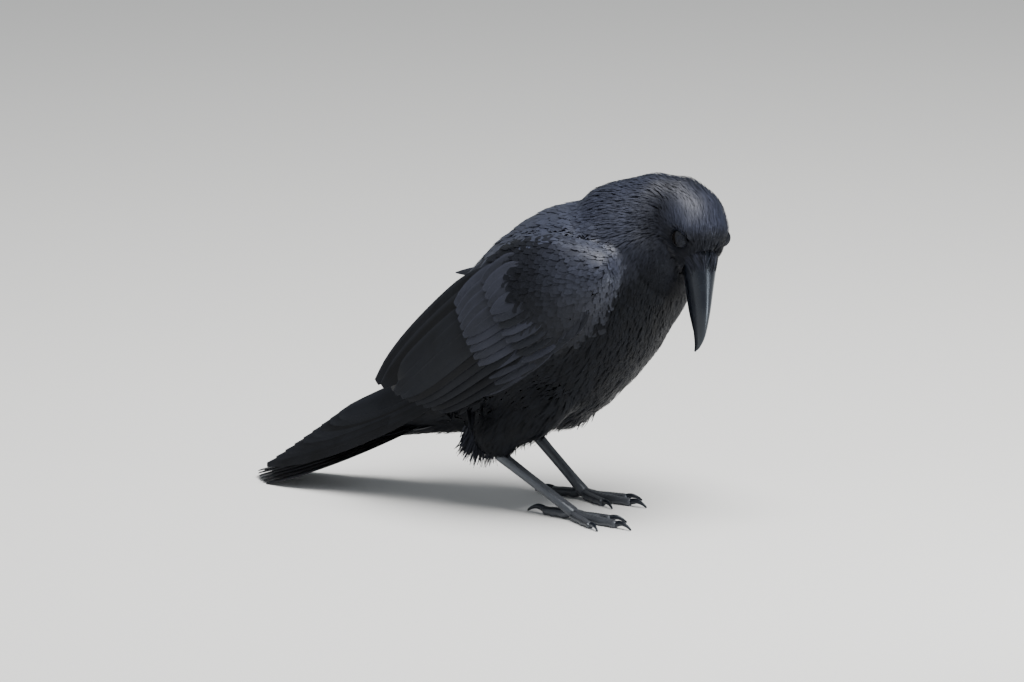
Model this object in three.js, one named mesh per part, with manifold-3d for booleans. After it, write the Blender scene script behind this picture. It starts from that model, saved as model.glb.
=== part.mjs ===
// A crow at life size, standing on both feet with its head bent down to its right and its tail laid on the ground.
// Millimetres. +Z is up, the bird faces -Y, and its left side is +X. The origin is on the ground under the middle
// of its box. Every solid gives the outline of the plumage, so the bare body would lie a few millimetres inside.
import * as THREE from "three";
import { mergeVertices } from "three/addons/utils/BufferGeometryUtils.js";
import Module from "manifold-3d";

const wasm = await Module();
wasm.setup();

// ---------------------------------------------------------------- driving sizes

const GAP = 0.35; // clear space between two pieces that touch in life
const PRESS = 0.5; // how much of a soft sole or a feather edge is flattened by the ground
const TRUNK_WIDTH = 106; // across the plumage of the breast, under the wings
const HEAD_WIDTH = 45; // across the cheeks
const BILL_START = 14; // how far ahead of the eyes the bare bill begins
const BILL_LENGTH = 56; // the bare bill, from the bristles to the tip
const BILL_DEPTH = 20; // both halves at the base
const BILL_WIDTH = 17.5;
const EYE_RADIUS = 6;
const TARSUS_LENGTH = 56; // from the ankle to the ball of the foot
const TARSUS_THICK = 5;
const FOOT_SPREAD = 56; // between the middles of the two feet
const TAIL_LENGTH = 176;
const TAIL_WIDTH = 62; // the folded tail near its end
const WING_THICK = 25; // the folded wing at its thickest, with what lies against the flank
const PRIMARY_LENGTH = 153; // what shows of the longest one
const VANE_THICK = 1.5;

// The head looks down and to its right: the way the bill points, and the way the crown faces.
const BILL_WAY = new THREE.Vector3(-0.18, -0.09, -0.98).normalize();
const CROWN_WAY = new THREE.Vector3(-0.54, -0.82, 0.17);
const SKULL = new THREE.Vector3(-5, -84, 182); // a point between the eyes

// ---------------------------------------------------------------- materials

const paint = (color, roughness) => new THREE.MeshStandardMaterial({ color, roughness, metalness: 0 });
const PLUMAGE = paint("#101014", 0.55);
const FLIGHT = paint("#141419", 0.42);
const HORN = paint("#17181b", 0.3);
const SCALES = paint("#1a1b1d", 0.5);
const EYE = paint("#120b07", 0.06);

// ---------------------------------------------------------------- making shapes

const v = (x, y, z) => new THREE.Vector3(x, y, z);
const through = (points) => new THREE.CatmullRomCurve3(points);
const { clamp, lerp, degToRad } = THREE.MathUtils;

/** A closed three.js geometry as a manifold solid. */
function solidOf(geometry) {
  geometry.deleteAttribute("normal");
  geometry.deleteAttribute("uv");
  const merged = mergeVertices(geometry, 1e-3);
  const corners = Array.from(merged.index.array);
  const faces = [];
  for (let i = 0; i < corners.length; i += 3) {
    const [a, b, c] = corners.slice(i, i + 3);
    if (a !== b && b !== c && c !== a) faces.push(a, b, c);
  }
  return new wasm.Manifold(
    new wasm.Mesh({
      numProp: 3,
      vertProperties: merged.attributes.position.array,
      triVerts: new Uint32Array(faces),
    }),
  );
}

/** Moves every vertex of a geometry by a function of its place. */
function reshape(geometry, move) {
  const places = geometry.getAttribute("position");
  for (let i = 0; i < places.count; i++) {
    const moved = move(v().fromBufferAttribute(places, i));
    places.setXYZ(i, moved.x, moved.y, moved.z);
  }
  return geometry;
}

/**
 * A rounded form along a path: a capsule whose sections follow the stations. Each station has a centre `at`, half
 * its width `wide`, and its height `above` and `below` the centre. `up` is where the top of each section faces,
 * `caps` how far the round ends reach past the first and last stations, and `hug` bends the upper and lower edge
 * of each section inwards, for a wing that wraps a body.
 */
function form({ stations, up, caps, round, rings, capRings = 3, grow = 0, hug = [0, 0] }) {
  const centres = through(stations.map((s) => s.at));
  const sizes = through(stations.map((s) => v(s.wide, s.above ?? s.wide, s.below ?? s.above ?? s.wide)));
  const ups = through(stations.map((s) => s.up ?? up));
  return solidOf(
    reshape(new THREE.CapsuleGeometry(1, 1, capRings, round, rings), (p) => {
      const along = clamp(p.y + 0.5, 0, 1);
      const past = p.y + 0.5 - along;
      const way = centres.getTangent(along);
      const side = way.clone().cross(ups.getPoint(along)).normalize();
      const top = side.clone().cross(way);
      const [wide, above, below] = sizes.getPoint(along).toArray();
      const height = p.z * ((p.z > 0 ? above : below) + grow);
      const inwards = hug[p.z > 0 ? 0 : 1] * height * height;
      return centres
        .getPoint(along)
        .addScaledVector(way, past * (caps[past > 0 ? 1 : 0] + grow))
        .addScaledVector(side, p.x * (wide + grow) - inwards)
        .addScaledVector(top, height);
    }),
  );
}

/** How wide a flight feather is at a share of its length: a narrow quill, even sides and a rounded end. */
function vaneOutline(share) {
  const quill = THREE.MathUtils.smoothstep(share, -0.05, 0.3);
  const end = clamp((share - 0.8) / 0.2, 0, 1);
  return (0.35 + 0.65 * quill) * Math.sqrt(Math.max(1 - end * end, 0.02));
}

/** One flight feather, a thin closed vane from root to tip. Its outer face is towards `face`, and it sags. */
function vane({ root, tip, face, width, sag = 0, grow = 0 }) {
  const alongParts = 5;
  const way = tip.clone().sub(root);
  const length = way.length();
  way.normalize();
  const side = way.clone().cross(face).normalize();
  const out = side.clone().cross(way);
  return solidOf(
    reshape(new THREE.BoxGeometry(1, 1, 1, 1, alongParts, 1), (p) => {
      const share = 1 - Math.pow(0.5 - p.y, 1.5);
      const across = p.x * (width * vaneOutline(share) + 2 * grow);
      const thick = VANE_THICK * lerp(1.3, 0.8, share) + 2 * grow;
      return root
        .clone()
        .addScaledVector(way, share * length + 2 * p.y * grow)
        .addScaledVector(side, across)
        .addScaledVector(out, p.z * thick)
        .add(v(0, 0, -4 * sag * share * (1 - share)));
    }),
  );
}

const joined = (solids) => solids.reduce((whole, piece) => whole.add(piece));
const without = (solid, ...tools) => tools.reduce((left, tool) => left.subtract(tool), solid);
/** The largest body of a solid that a cut has left in several. */
const largest = (solid) => solid.decompose().reduce((a, b) => (a.volume() > b.volume() ? a : b));

/** A box with one face through `point`, filling the side that `facing` looks to. */
function halfSpace(point, facing) {
  const size = 600;
  const box = new THREE.BoxGeometry(size, size, size).translate(0, 0, size / 2);
  const turn = new THREE.Quaternion().setFromUnitVectors(v(0, 0, 1), facing.clone().normalize());
  return solidOf(box.applyQuaternion(turn).translate(point.x, point.y, point.z));
}

const GROUND = halfSpace(v(0, 0, 0), v(0, 0, -1));
/** Mirrors a place or a direction to the other side of the bird. */
const mirrored = (p, side) => v(p.x * side, p.y, p.z);
const SIDES = [
  { name: "right", side: -1 },
  { name: "left", side: 1 },
];

// ---------------------------------------------------------------- trunk, neck and head

const BACK_WAY = v(0, 0.6, 0.8); // where the back of the trunk faces

/** The trunk from the tail coverts to the shoulders. */
function trunkForm(grow = 0) {
  const half = TRUNK_WIDTH / 2;
  const stations = [
    { at: v(0, 128, 43), wide: half * 0.28, above: 9, below: 9 },
    { at: v(0, 103, 60), wide: half * 0.5, above: 24, below: 23 },
    { at: v(0, 74, 80), wide: half * 0.76, above: 41, below: 39 },
    { at: v(0, 42, 101), wide: half * 0.93, above: 55, below: 54 },
    { at: v(0, 12, 121), wide: half, above: 63, below: 61 },
    { at: v(0, -16, 142), wide: half * 0.97, above: 62, below: 54 },
    { at: v(0, -38, 162), wide: half * 0.86, above: 50, below: 42 },
    { at: v(-1, -55, 180), wide: half * 0.68, above: 26, below: 33 },
  ];
  return form({ stations, up: BACK_WAY, caps: [16, 14], round: 18, rings: 11, grow });
}

/** The neck, which leaves the shoulders upwards and bends over into the back of the head. */
function neckForm(grow = 0) {
  const stations = [
    { at: v(0, -20, 149), wide: 40, above: 44, below: 34, up: v(0, 0.6, 0.8) },
    { at: v(-1, -42, 172), wide: 38, above: 46, below: 35, up: v(0, 0.45, 0.9) },
    { at: v(-2, -60, 186), wide: 29, above: 33, below: 30, up: v(0, 0.05, 1) },
    { at: v(-3, -71, 189), wide: 20, above: 26, below: 20, up: v(-0.1, -0.35, 1) },
  ];
  return form({ stations, up: BACK_WAY, caps: [10, 6], round: 16, rings: 6, grow });
}

/** A place on the head: so far towards the bill, the crown and the bird's own right. */
function onHead(forward, upward, rightward) {
  const right = BILL_WAY.clone().cross(CROWN_WAY).normalize();
  const upwards = right.clone().cross(BILL_WAY);
  return SKULL.clone()
    .addScaledVector(BILL_WAY, forward)
    .addScaledVector(upwards, upward)
    .addScaledVector(right, rightward);
}

/** The head from the nape to the bristles over the bill. Its back leans towards the neck. */
function headForm(grow = 0) {
  const half = HEAD_WIDTH / 2;
  const station = (forward, wide, above, below, lean = 0) => ({
    at: onHead(forward, -1, 0).add(v(0, lean, 0)),
    wide: half * wide,
    above,
    below,
  });
  const stations = [
    station(-24, 0.74, 11, 17, 10),
    station(-15, 0.97, 17.5, 23, 5),
    station(-3, 0.98, 20.5, 23, 1),
    station(7, 0.78, 18, 17),
    station(14, 0.56, 13.5, 12),
    station(21, 0.46, 10.5, 9.6),
  ];
  return form({ stations, up: CROWN_WAY, caps: [11, 3], round: 16, rings: 9, grow });
}

/** Half of the bill: side 1 is the upper half with its hooked tip, and side -1 the lower. */
function billForm(side, grow = 0) {
  const length = BILL_LENGTH * (side > 0 ? 1 : 0.92);
  const deep = BILL_DEPTH * (side > 0 ? 0.58 : 0.42);
  const edge = 0.8; // how far the cutting edge lies over the middle of the head
  const station = (share, wide, high, drop) => ({
    at: onHead(BILL_START + share * length, edge + side * (GAP / 2 + 0.1) - drop, 0),
    wide: (BILL_WIDTH / 2) * wide,
    above: side > 0 ? deep * high : 0.1,
    below: side > 0 ? 0.1 : deep * high,
  });
  const stations = [
    station(-0.1, 0.95, 0.9, -0.4),
    station(0.1, 1, 1, 0),
    station(0.35, 0.78, 0.95, 0.2),
    station(0.6, 0.56, 0.78, 0.6),
    station(0.82, 0.34, 0.5, side > 0 ? 1.6 : 1),
    station(0.97, 0.12, side > 0 ? 0.2 : 0.16, side > 0 ? 3.6 : 1.6),
  ];
  return form({ stations, up: CROWN_WAY, caps: [2, 1.2], round: 10, rings: 8, capRings: 2, grow });
}

const eyeCentre = (side) => onHead(1, 3.5, -side * (HEAD_WIDTH / 2 - 6.8));
const eyeBall = (side, grow = 0) => {
  const at = eyeCentre(side);
  return solidOf(new THREE.SphereGeometry(EYE_RADIUS + grow, 12, 7).translate(at.x, at.y, at.z));
};

// ---------------------------------------------------------------- wings

/** The folded arm of a wing: shoulder, scapulars and coverts, wrapped round the flank. */
function wingArm(side, grow = 0) {
  const row = (x, y, z, wide, above, below, lean) => ({
    at: mirrored(v(x, y, z), side),
    wide: wide * WING_THICK,
    above,
    below,
    up: mirrored(v(-lean, 0.6, 0.8), side),
  });
  const stations = [
    row(41, -37, 164, 0.42, 17, 15, 0.2),
    row(46, -25, 160, 0.5, 27, 25, 0.24),
    row(47.5, -4, 151, 0.5, 38, 37, 0.28),
    row(45, 24, 133, 0.5, 43, 43, 0.32),
    row(39, 54, 113, 0.45, 40, 40, 0.36),
    row(33, 84, 93, 0.33, 31, 32, 0.4),
    row(31, 106, 78, 0.19, 19, 23, 0.4),
  ];
  const hug = [0.004, 0.007].map((bend) => bend * side);
  return form({ stations, up: BACK_WAY, caps: [7, 8], round: 12, rings: 8, hug, grow });
}

/** The ends of the secondaries and tertials, which step out from under the coverts. */
function secondaries(side, grow = 0) {
  const count = 3;
  return Array.from({ length: count }, (_, i) => {
    const share = i / (count - 1); // 0 is the lowest and 1 the tertial on top
    return vane({
      root: mirrored(v(lerp(42, 32, share), lerp(40, 52, share), lerp(82, 132, share)), side),
      tip: mirrored(v(lerp(35, 23, share), lerp(110, 136, share), lerp(49, 73, share)), side),
      face: mirrored(v(lerp(1, 0.8, share), 0.1, lerp(0.1, 0.6, share)), side),
      width: 26,
      grow,
    });
  });
}

/** The primaries, a narrow stack from under the secondaries to the wing tip. */
function primaries(side) {
  const count = 5;
  return Array.from({ length: count }, (_, i) => {
    const share = i / (count - 1); // 0 is the longest
    const way = v(lerp(-0.15, -0.19, share), 0.89, lerp(-0.432, -0.45, share)).normalize();
    const root = v(39 - i * 0.9, lerp(72, 70, share), lerp(78, 93, share));
    return vane({
      root: mirrored(root, side),
      tip: mirrored(root.clone().addScaledVector(way, PRIMARY_LENGTH * lerp(1, 0.64, share)), side),
      face: mirrored(v(0.9, 0.1, 0.4), side),
      width: lerp(15, 20, share),
      sag: 5,
    });
  });
}

// ---------------------------------------------------------------- tail

/** The tail: twelve feathers in pairs, the middle pair on top, laid so that their ends rest on the ground. */
function tailForm() {
  const pairs = 6;
  const rootAt = v(0, 60, 78);
  const feathers = [];
  for (let pair = 0; pair < pairs; pair++) {
    for (const side of [-1, 1]) {
      const spread = (pair + 0.35) / pairs;
      const length = TAIL_LENGTH * (1 - 0.06 * spread * spread);
      const drop = pair * 0.9;
      const tipHeight = 5.1 - drop;
      const reach = Math.sqrt(length ** 2 - (rootAt.z - drop - tipHeight) ** 2);
      feathers.push(
        vane({
          root: v(side * spread * 9, rootAt.y, rootAt.z - drop),
          tip: v(side * spread * (TAIL_WIDTH / 2 - 11), rootAt.y + reach, tipHeight),
          face: v(side * spread * 0.16, 0.4, 0.9),
          width: 23,
          sag: 12,
        }),
      );
    }
  }
  return joined(feathers);
}

// ---------------------------------------------------------------- legs and feet

// Where each foot stands, how far its ankle is behind it, the share of the tarsus the feathers cover, and its turn.
const FEET = {
  right: { ball: v(-FOOT_SPREAD / 2, -9, 0), ankleBack: 47.5, covered: 0.02, turn: -16 },
  left: { ball: v(FOOT_SPREAD / 2, 9, 0), ankleBack: 39.6, covered: 0.22, turn: -10 },
};
const BALL_HEIGHT = 5.5; // the middle of the foot's ball above the ground

function ankleOf(foot) {
  const rise = Math.sqrt(TARSUS_LENGTH ** 2 - foot.ankleBack ** 2);
  return v(foot.ball.x, foot.ball.y + foot.ankleBack, BALL_HEIGHT + rise);
}

/** The feathered thigh, from inside the flank down to the bare ankle. */
function thighForm(foot, side, grow = 0) {
  const cuff = ankleOf(foot).lerp(foot.ball, foot.covered);
  const stations = [
    { at: v(side * 28, 8, 84), wide: 18, above: 24, below: 24 },
    { at: v(side * 29, 22, 64), wide: 15, above: 18, below: 18 },
    { at: v(side * 28.5, cuff.y - 1, cuff.z + 16), wide: 9.5, above: 23, below: 10 },
    { at: v(side * 28, cuff.y + 1, cuff.z + 4), wide: 5, above: 13, below: 5 },
  ];
  return form({ stations, up: v(0, 1, 0.6), caps: [8, 2], round: 12, rings: 6, capRings: 2, grow });
}

function tarsusForm(foot, grow = 0) {
  const ankle = ankleOf(foot);
  const ball = foot.ball.clone().setZ(BALL_HEIGHT);
  const at = (share) => ankle.clone().lerp(ball, share);
  const half = TARSUS_THICK / 2;
  const stations = [
    { at: at(-0.04), wide: half * 1.1, above: half * 1.25 },
    { at: at(0.15), wide: half * 0.95, above: half * 1.1 },
    { at: at(0.55), wide: half * 0.85, above: half },
    { at: at(0.85), wide: half * 1.05, above: half },
    { at: at(1.02), wide: half * 1.7, above: half * 1.2 },
  ];
  return form({ stations, up: v(0, 1, 0.6), caps: [2.5, 3], round: 8, rings: 5, capRings: 2, grow });
}

// Each toe: which way it points from straight ahead, the length of its fleshy part, and of its claw.
const TOES = [
  { name: "middle", turn: 0, length: 37, claw: 14, thick: 1 },
  { name: "inner", turn: -24, length: 25, claw: 13, thick: 1 },
  { name: "outer", turn: 24, length: 28, claw: 12, thick: 0.92 },
  { name: "hind", turn: 180, length: 22, claw: 17, thick: 1.12 },
];
const TOE_THICK = 5.6;

/** Where a toe points, level with the ground. The inner toe is on the side of the other foot. */
function toeWay(toe, foot, side) {
  const angle = degToRad(toe.turn * side + foot.turn);
  return v(Math.sin(angle), -Math.cos(angle), 0);
}

function toeForm(toe, foot, side, grow = 0) {
  const way = toeWay(toe, foot, side);
  const half = (TOE_THICK / 2) * toe.thick;
  const at = (share, height) => foot.ball.clone().addScaledVector(way, share * toe.length).setZ(height);
  const stations = [
    { at: at(0.08, 4.4), wide: half * 1.05, above: half * 0.95 },
    { at: at(0.3, half - PRESS + 0.2), wide: half * 1.12, above: half * 1.05 },
    { at: at(0.48, half + 0.1), wide: half * 0.84, above: half * 0.8 },
    { at: at(0.66, half - PRESS), wide: half * 1.05, above: half },
    { at: at(0.82, half * 0.92), wide: half * 0.76, above: half * 0.72 },
    { at: at(0.96, half * 0.95 - PRESS), wide: half * 0.86, above: half * 0.9 },
  ];
  return form({ stations, up: v(0, 0, 1), caps: [2, 1.5], round: 6, rings: 5, capRings: 2, grow });
}

/** A claw, which leaves the toe's end, arches over and touches the ground at its point. */
function clawForm(toe, foot, side) {
  const way = toeWay(toe, foot, side);
  const half = (TOE_THICK / 2) * toe.thick;
  const start = toe.length + 1.5;
  const at = (share) => {
    const arch = Math.sin(Math.PI * (0.25 + 0.75 * share)) * toe.claw * 0.26;
    return foot.ball
      .clone()
      .addScaledVector(way, start + share * toe.claw * 0.82)
      .setZ(arch + lerp(half * 0.1, 0.7, share));
  };
  const stations = [0, 0.3, 0.6, 0.85, 1].map((share) => ({
    at: at(share),
    wide: half * lerp(0.55, 0.12, share),
    above: half * lerp(0.8, 0.14, share),
  }));
  return form({ stations, up: v(0, 0, 1), caps: [0.6, 0.3], round: 6, rings: 3, capRings: 1 });
}

// ---------------------------------------------------------------- the whole bird

const nodes = [];
const add = (name, solid, material) => nodes.push({ name, solid: largest(solid), material });

const thighs = SIDES.map(({ name, side }) => thighForm(FEET[name], side));
const thighRoom = SIDES.map(({ name, side }) => thighForm(FEET[name], side, GAP));
const trunkRoom = trunkForm(GAP);
const neckRoom = neckForm(GAP);
const bill = [billForm(1), billForm(-1)];
const billRoom = [billForm(1, GAP), billForm(-1, GAP)];
const eyeRoom = SIDES.map(({ side }) => eyeBall(side, GAP));

// The trunk and the neck are one form, parted by a thin cut over the shoulders. The head is set into the neck.
const NECK_CUT = { at: v(0, -47, 174), facing: v(0, -0.62, 0.78) };
const neckSide = (gap) => halfSpace(NECK_CUT.at.clone().addScaledVector(NECK_CUT.facing, gap), NECK_CUT.facing);
const body = without(joined([trunkForm(), neckForm()]), headForm(GAP), ...billRoom);
add("head", without(headForm(), ...billRoom, ...eyeRoom), PLUMAGE);
add("neck", without(body.intersect(neckSide(GAP / 2)), ...eyeRoom), PLUMAGE);
add("trunk", without(body, neckSide(-GAP / 2), ...thighRoom), PLUMAGE);
add("bill_upper", bill[0], HORN);
add("bill_lower", without(bill[1], billRoom[0]), HORN);

const tail = without(tailForm(), trunkRoom, GROUND);
add("tail", tail, FLIGHT);

SIDES.forEach(({ name, side }, i) => {
  const foot = FEET[name];
  add(`eye_${name}`, eyeBall(side), EYE);
  const arm = without(joined([wingArm(side), ...secondaries(side)]), trunkRoom, neckRoom);
  const tip = joined(primaries(side));
  const armRoom = joined([wingArm(side, GAP), ...secondaries(side, GAP)]);
  add(`wing_${name}`, arm, FLIGHT);
  add(`wing_tip_${name}`, without(tip, armRoom, trunkRoom, GROUND), FLIGHT);
  add(`thigh_${name}`, thighs[i], PLUMAGE);
  const tarsusRoom = tarsusForm(foot, GAP);
  add(`tarsus_${name}`, without(tarsusForm(foot), thighRoom[i], GROUND), SCALES);
  const middleRoom = toeForm(TOES[0], foot, side, GAP);
  TOES.forEach((toe, order) => {
    const rooms = order > 0 && order < 3 ? [tarsusRoom, middleRoom] : [tarsusRoom];
    add(`toe_${toe.name}_${name}`, without(toeForm(toe, foot, side), ...rooms, GROUND), SCALES);
    add(`claw_${toe.name}_${name}`, without(clawForm(toe, foot, side), GROUND), HORN);
  });
});

const crow = new THREE.Group();
for (const { name, solid, material } of nodes) {
  const { vertProperties, triVerts } = solid.getMesh();
  const geometry = new THREE.BufferGeometry();
  geometry.setAttribute("position", new THREE.BufferAttribute(vertProperties, 3));
  geometry.setIndex(new THREE.BufferAttribute(triVerts, 1));
  geometry.computeVertexNormals();
  const mesh = new THREE.Mesh(geometry, material);
  mesh.name = name;
  crow.add(mesh);
}

// The shapes above are laid out from the ground between the feet. The origin goes under the middle of their box.
const box = new THREE.Box3().setFromObject(crow);
const middle = box.getCenter(v());
crow.children.forEach((mesh) => mesh.geometry.translate(-middle.x, -middle.y, 0));

export default crow;
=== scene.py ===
"""A life-size crow standing on both feet, its head bent down to its right and its tail laid on the ground.

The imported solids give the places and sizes. One skin takes the place of the flesh, and the plumage grows on
it as solid vanes and tufts. Metres, +Z up, the bird faces -Y and its left side is +X.
"""
import math

import bmesh
import bpy
import numpy as np
from bpy.props import FloatProperty, FloatVectorProperty, PointerProperty
from mathutils import Matrix, Vector
from mathutils.bvhtree import BVHTree
from mathutils.kdtree import KDTree


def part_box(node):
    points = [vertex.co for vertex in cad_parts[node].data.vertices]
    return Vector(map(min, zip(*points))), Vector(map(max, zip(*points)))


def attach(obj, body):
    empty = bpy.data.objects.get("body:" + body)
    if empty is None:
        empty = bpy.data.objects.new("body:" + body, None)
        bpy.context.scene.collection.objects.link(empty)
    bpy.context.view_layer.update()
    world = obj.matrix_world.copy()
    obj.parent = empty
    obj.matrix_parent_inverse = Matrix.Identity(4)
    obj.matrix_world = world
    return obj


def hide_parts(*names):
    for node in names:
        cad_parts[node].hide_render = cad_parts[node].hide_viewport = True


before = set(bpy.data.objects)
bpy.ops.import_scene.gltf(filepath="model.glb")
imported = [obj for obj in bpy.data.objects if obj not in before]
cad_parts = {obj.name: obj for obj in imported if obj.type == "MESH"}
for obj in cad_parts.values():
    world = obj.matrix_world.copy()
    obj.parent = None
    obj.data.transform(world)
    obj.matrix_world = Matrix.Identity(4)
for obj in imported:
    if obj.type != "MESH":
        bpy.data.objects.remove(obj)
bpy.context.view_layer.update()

bl_info = {
    "name": "Standing crow",
    "version": (1, 0, 0),
    "blender": (4, 5, 0),
    "location": "3D View > Sidebar > Crow",
    "description": "Dresses the solids of a crow in skin, plumage, horn and scales",
    "category": "Object",
}

SIDES = (("right", -1), ("left", 1))
TOES = ("middle", "inner", "outer", "hind")
BODY = "root"

# ------------------------------------------------------------------ places on the bird

BETWEEN_FEET = np.array((0.0, -0.05892, 0.0))  # the ground between the feet, from which places are laid out
BILL_WAY = Vector((-0.18, -0.09, -0.98)).normalized()  # the way the bill points
RIGHT_WAY = BILL_WAY.cross(Vector((-0.54, -0.82, 0.17))).normalized()  # towards the head's own right
CROWN_WAY = RIGHT_WAY.cross(BILL_WAY)


def place(x, y, z):
    """A place in millimetres from the ground between the feet, in metres in the model's own frame."""
    return np.array((x, y, z)) / 1000 + BETWEEN_FEET


def on_head(forward, upward, rightward):
    """A place on the head, in millimetres from between the eyes towards the bill, the crown and the right."""
    out = BILL_WAY * forward + CROWN_WAY * upward + RIGHT_WAY * rightward
    return place(-5 + out.x, -84 + out.y, 182 + out.z)


def unit(vectors):
    """The same vectors, one long."""
    return vectors / np.maximum(np.linalg.norm(vectors, axis=-1, keepdims=True), 1e-9)


def dot(a, b):
    """The products of two arrays of vectors, one by one."""
    return np.sum(a * b, axis=-1, keepdims=True)


def smooth(low, high, value):
    """A soft step from 0 at low to 1 at high."""
    t = np.clip((value - low) / (high - low), 0, 1)
    return t * t * (3 - 2 * t)


def ramp(share, stops):
    """A value read from evenly spaced stops."""
    return np.interp(share, np.linspace(0, 1, len(stops)), stops)


# ------------------------------------------------------------------ sizes and colours


def length(name, description, default):
    """A length that a user may change."""
    return FloatProperty(name=name, description=description, default=default, unit="LENGTH")


def colour(name, description, default):
    """A colour that a user may change."""
    return FloatVectorProperty(name=name, description=description, default=default, subtype="COLOR", size=3)


class CrowSizes(bpy.types.PropertyGroup):
    """Sizes of the skin, the plumage and the bare parts."""

    skin_grain: length("Skin grain", "How fine the skin's mesh is", 0.0026)
    coat_depth: length("Coat depth", "How far the skin lies under the plumage of the body", 0.0048)
    head_tuft: length("Head tuft", "Length of a tuft on the crown", 0.0066)
    neck_tuft: length("Neck tuft", "Length of a neck feather that shows", 0.0125)
    body_tuft: length("Body feather", "Length of a breast feather that shows", 0.022)
    vane_thick: length("Vane thickness", "Thickness of a flight feather", 0.0007)


class CrowColours(bpy.types.PropertyGroup):
    """Colours of the plumage, the bare parts and the floor."""

    black: colour("Black", "The plumage of the belly", (0.0036, 0.0037, 0.0042))
    # the violet grey is the paler colour painted on the crown, the nape and the mantle as sheen of the
    # overhead light; it also colours the paler feather rims and the skin
    violet: colour("Violet grey", "The plumage of the crown and the mantle", (0.029, 0.0315, 0.047))
    blue: colour("Blue grey", "The wing", (0.0095, 0.0108, 0.0145))
    horn: colour("Horn", "The bill and the claws", (0.006, 0.0072, 0.0105))
    scales: colour("Scales", "The bare legs", (0.034, 0.0365, 0.043))
    floor: colour("Floor", "The studio floor", (0.8, 0.8, 0.79))


def sizes():
    """The sizes set in this file's scene."""
    return bpy.context.scene.crow_sizes


def colours():
    """The colours set in this file's scene."""
    return bpy.context.scene.crow_colours


# ------------------------------------------------------------------ finishes


class Signal:
    """A shader value that takes part in arithmetic: each operation adds a Math node."""

    def __init__(self, finish, socket):
        self.finish = finish
        self.socket = socket

    def math(self, operation, *others):
        """This value and others put through a Math node."""
        node = self.finish.add("ShaderNodeMath", {"operation": operation})
        for slot, other in zip(node.inputs, (self, *others)):
            self.finish.feed(slot, other)
        return Signal(self.finish, node.outputs[0])

    def __add__(self, other):
        return self.math("ADD", other)

    __radd__ = __add__

    def __sub__(self, other):
        return self.math("SUBTRACT", other)

    def __rsub__(self, other):
        return self.math("MULTIPLY", -1).math("ADD", other)

    def __mul__(self, other):
        return self.math("MULTIPLY", other)

    __rmul__ = __mul__

    def sine(self):
        return self.math("SINE")

    def size(self):
        return self.math("ABSOLUTE")

    def step(self, low, high):
        """A soft step from 0 at low to 1 at high."""
        settings = {"interpolation_type": "SMOOTHSTEP"}
        values = {"Value": self, "From Min": low, "From Max": high}
        return self.finish.node("ShaderNodeMapRange", settings, values)


class Finish:
    """A procedural material. Its node method adds any node and its shader is a Principled BSDF."""

    def __init__(self, name, **fixed):
        self.material = bpy.data.materials.new(name)
        self.material.use_nodes = True
        self.tree = self.material.node_tree
        self.shader = self.tree.nodes["Principled BSDF"]
        for socket, value in fixed.items():
            self.shader.inputs[socket.replace("_", " ")].default_value = value

    def add(self, kind, settings):
        """A new node with its settings."""
        node = self.tree.nodes.new(kind)
        for name, value in settings.items():
            setattr(node, name, value)
        return node

    def feed(self, socket, value):
        """Links a value to a socket, or sets a plain one."""
        if isinstance(value, Signal):
            self.tree.links.new(value.socket, socket)
        else:
            socket.default_value = value

    def node(self, kind, settings=None, values=None, output=0):
        """Adds a node, sets it up and feeds its named sockets. Gives one of its outputs."""
        node = self.add(kind, settings or {})
        for name, value in (values or {}).items():
            self.feed(node.inputs[name], value)
        return Signal(self, node.outputs[output])

    def attribute(self, name):
        return self.node("ShaderNodeAttribute", {"attribute_name": name}, output="Fac")

    def uv(self, name):
        """The two values of a UV map."""
        split = self.add("ShaderNodeSeparateXYZ", {})
        self.feed(split.inputs[0], self.node("ShaderNodeUVMap", {"uv_map": name}))
        return Signal(self, split.outputs[0]), Signal(self, split.outputs[1])

    def places(self, scale=(1, 1, 1)):
        """The place on the piece, stretched."""
        where = self.node("ShaderNodeTexCoord", output="Object")
        return self.node("ShaderNodeMapping", {}, {"Vector": where, "Scale": scale})

    def noise(self, scale, detail=3, where=None):
        """A cloudy pattern, by default over the unstretched places."""
        values = {"Vector": where or self.places(), "Scale": scale, "Detail": detail}
        return self.node("ShaderNodeTexNoise", {}, values, output="Fac")

    def mix(self, share, a, b):
        """A colour between two colours."""
        node = self.add("ShaderNodeMix", {"data_type": "RGBA"})
        self.feed(node.inputs[0], share)
        self.feed(node.inputs[6], a)
        self.feed(node.inputs[7], b)
        return Signal(self, node.outputs[2])

    def bump(self, height, strength, depth):
        return self.node("ShaderNodeBump", {}, {"Height": height, "Strength": strength, "Distance": depth})

    def set(self, **surface):
        """Feeds the shader's sockets and gives the finished material."""
        for socket, value in surface.items():
            self.feed(self.shader.inputs[socket.replace("_", " ")], value)
        return self.material


def rgba(colour, gain=1.0):
    """A colour with full alpha, made lighter or darker by the gain."""
    return (*[min(c * gain, 1.0) for c in colour], 1.0)


COOL = (0.86, 0.9, 1.0, 1.0)  # the tint of the highlights on plumage
COLD = (0.76, 0.87, 1.0, 1.0)  # and on horn
HALF_TURN = 3.1416  # a sine of the barbs' count times this gives one wave for two barbs


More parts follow.
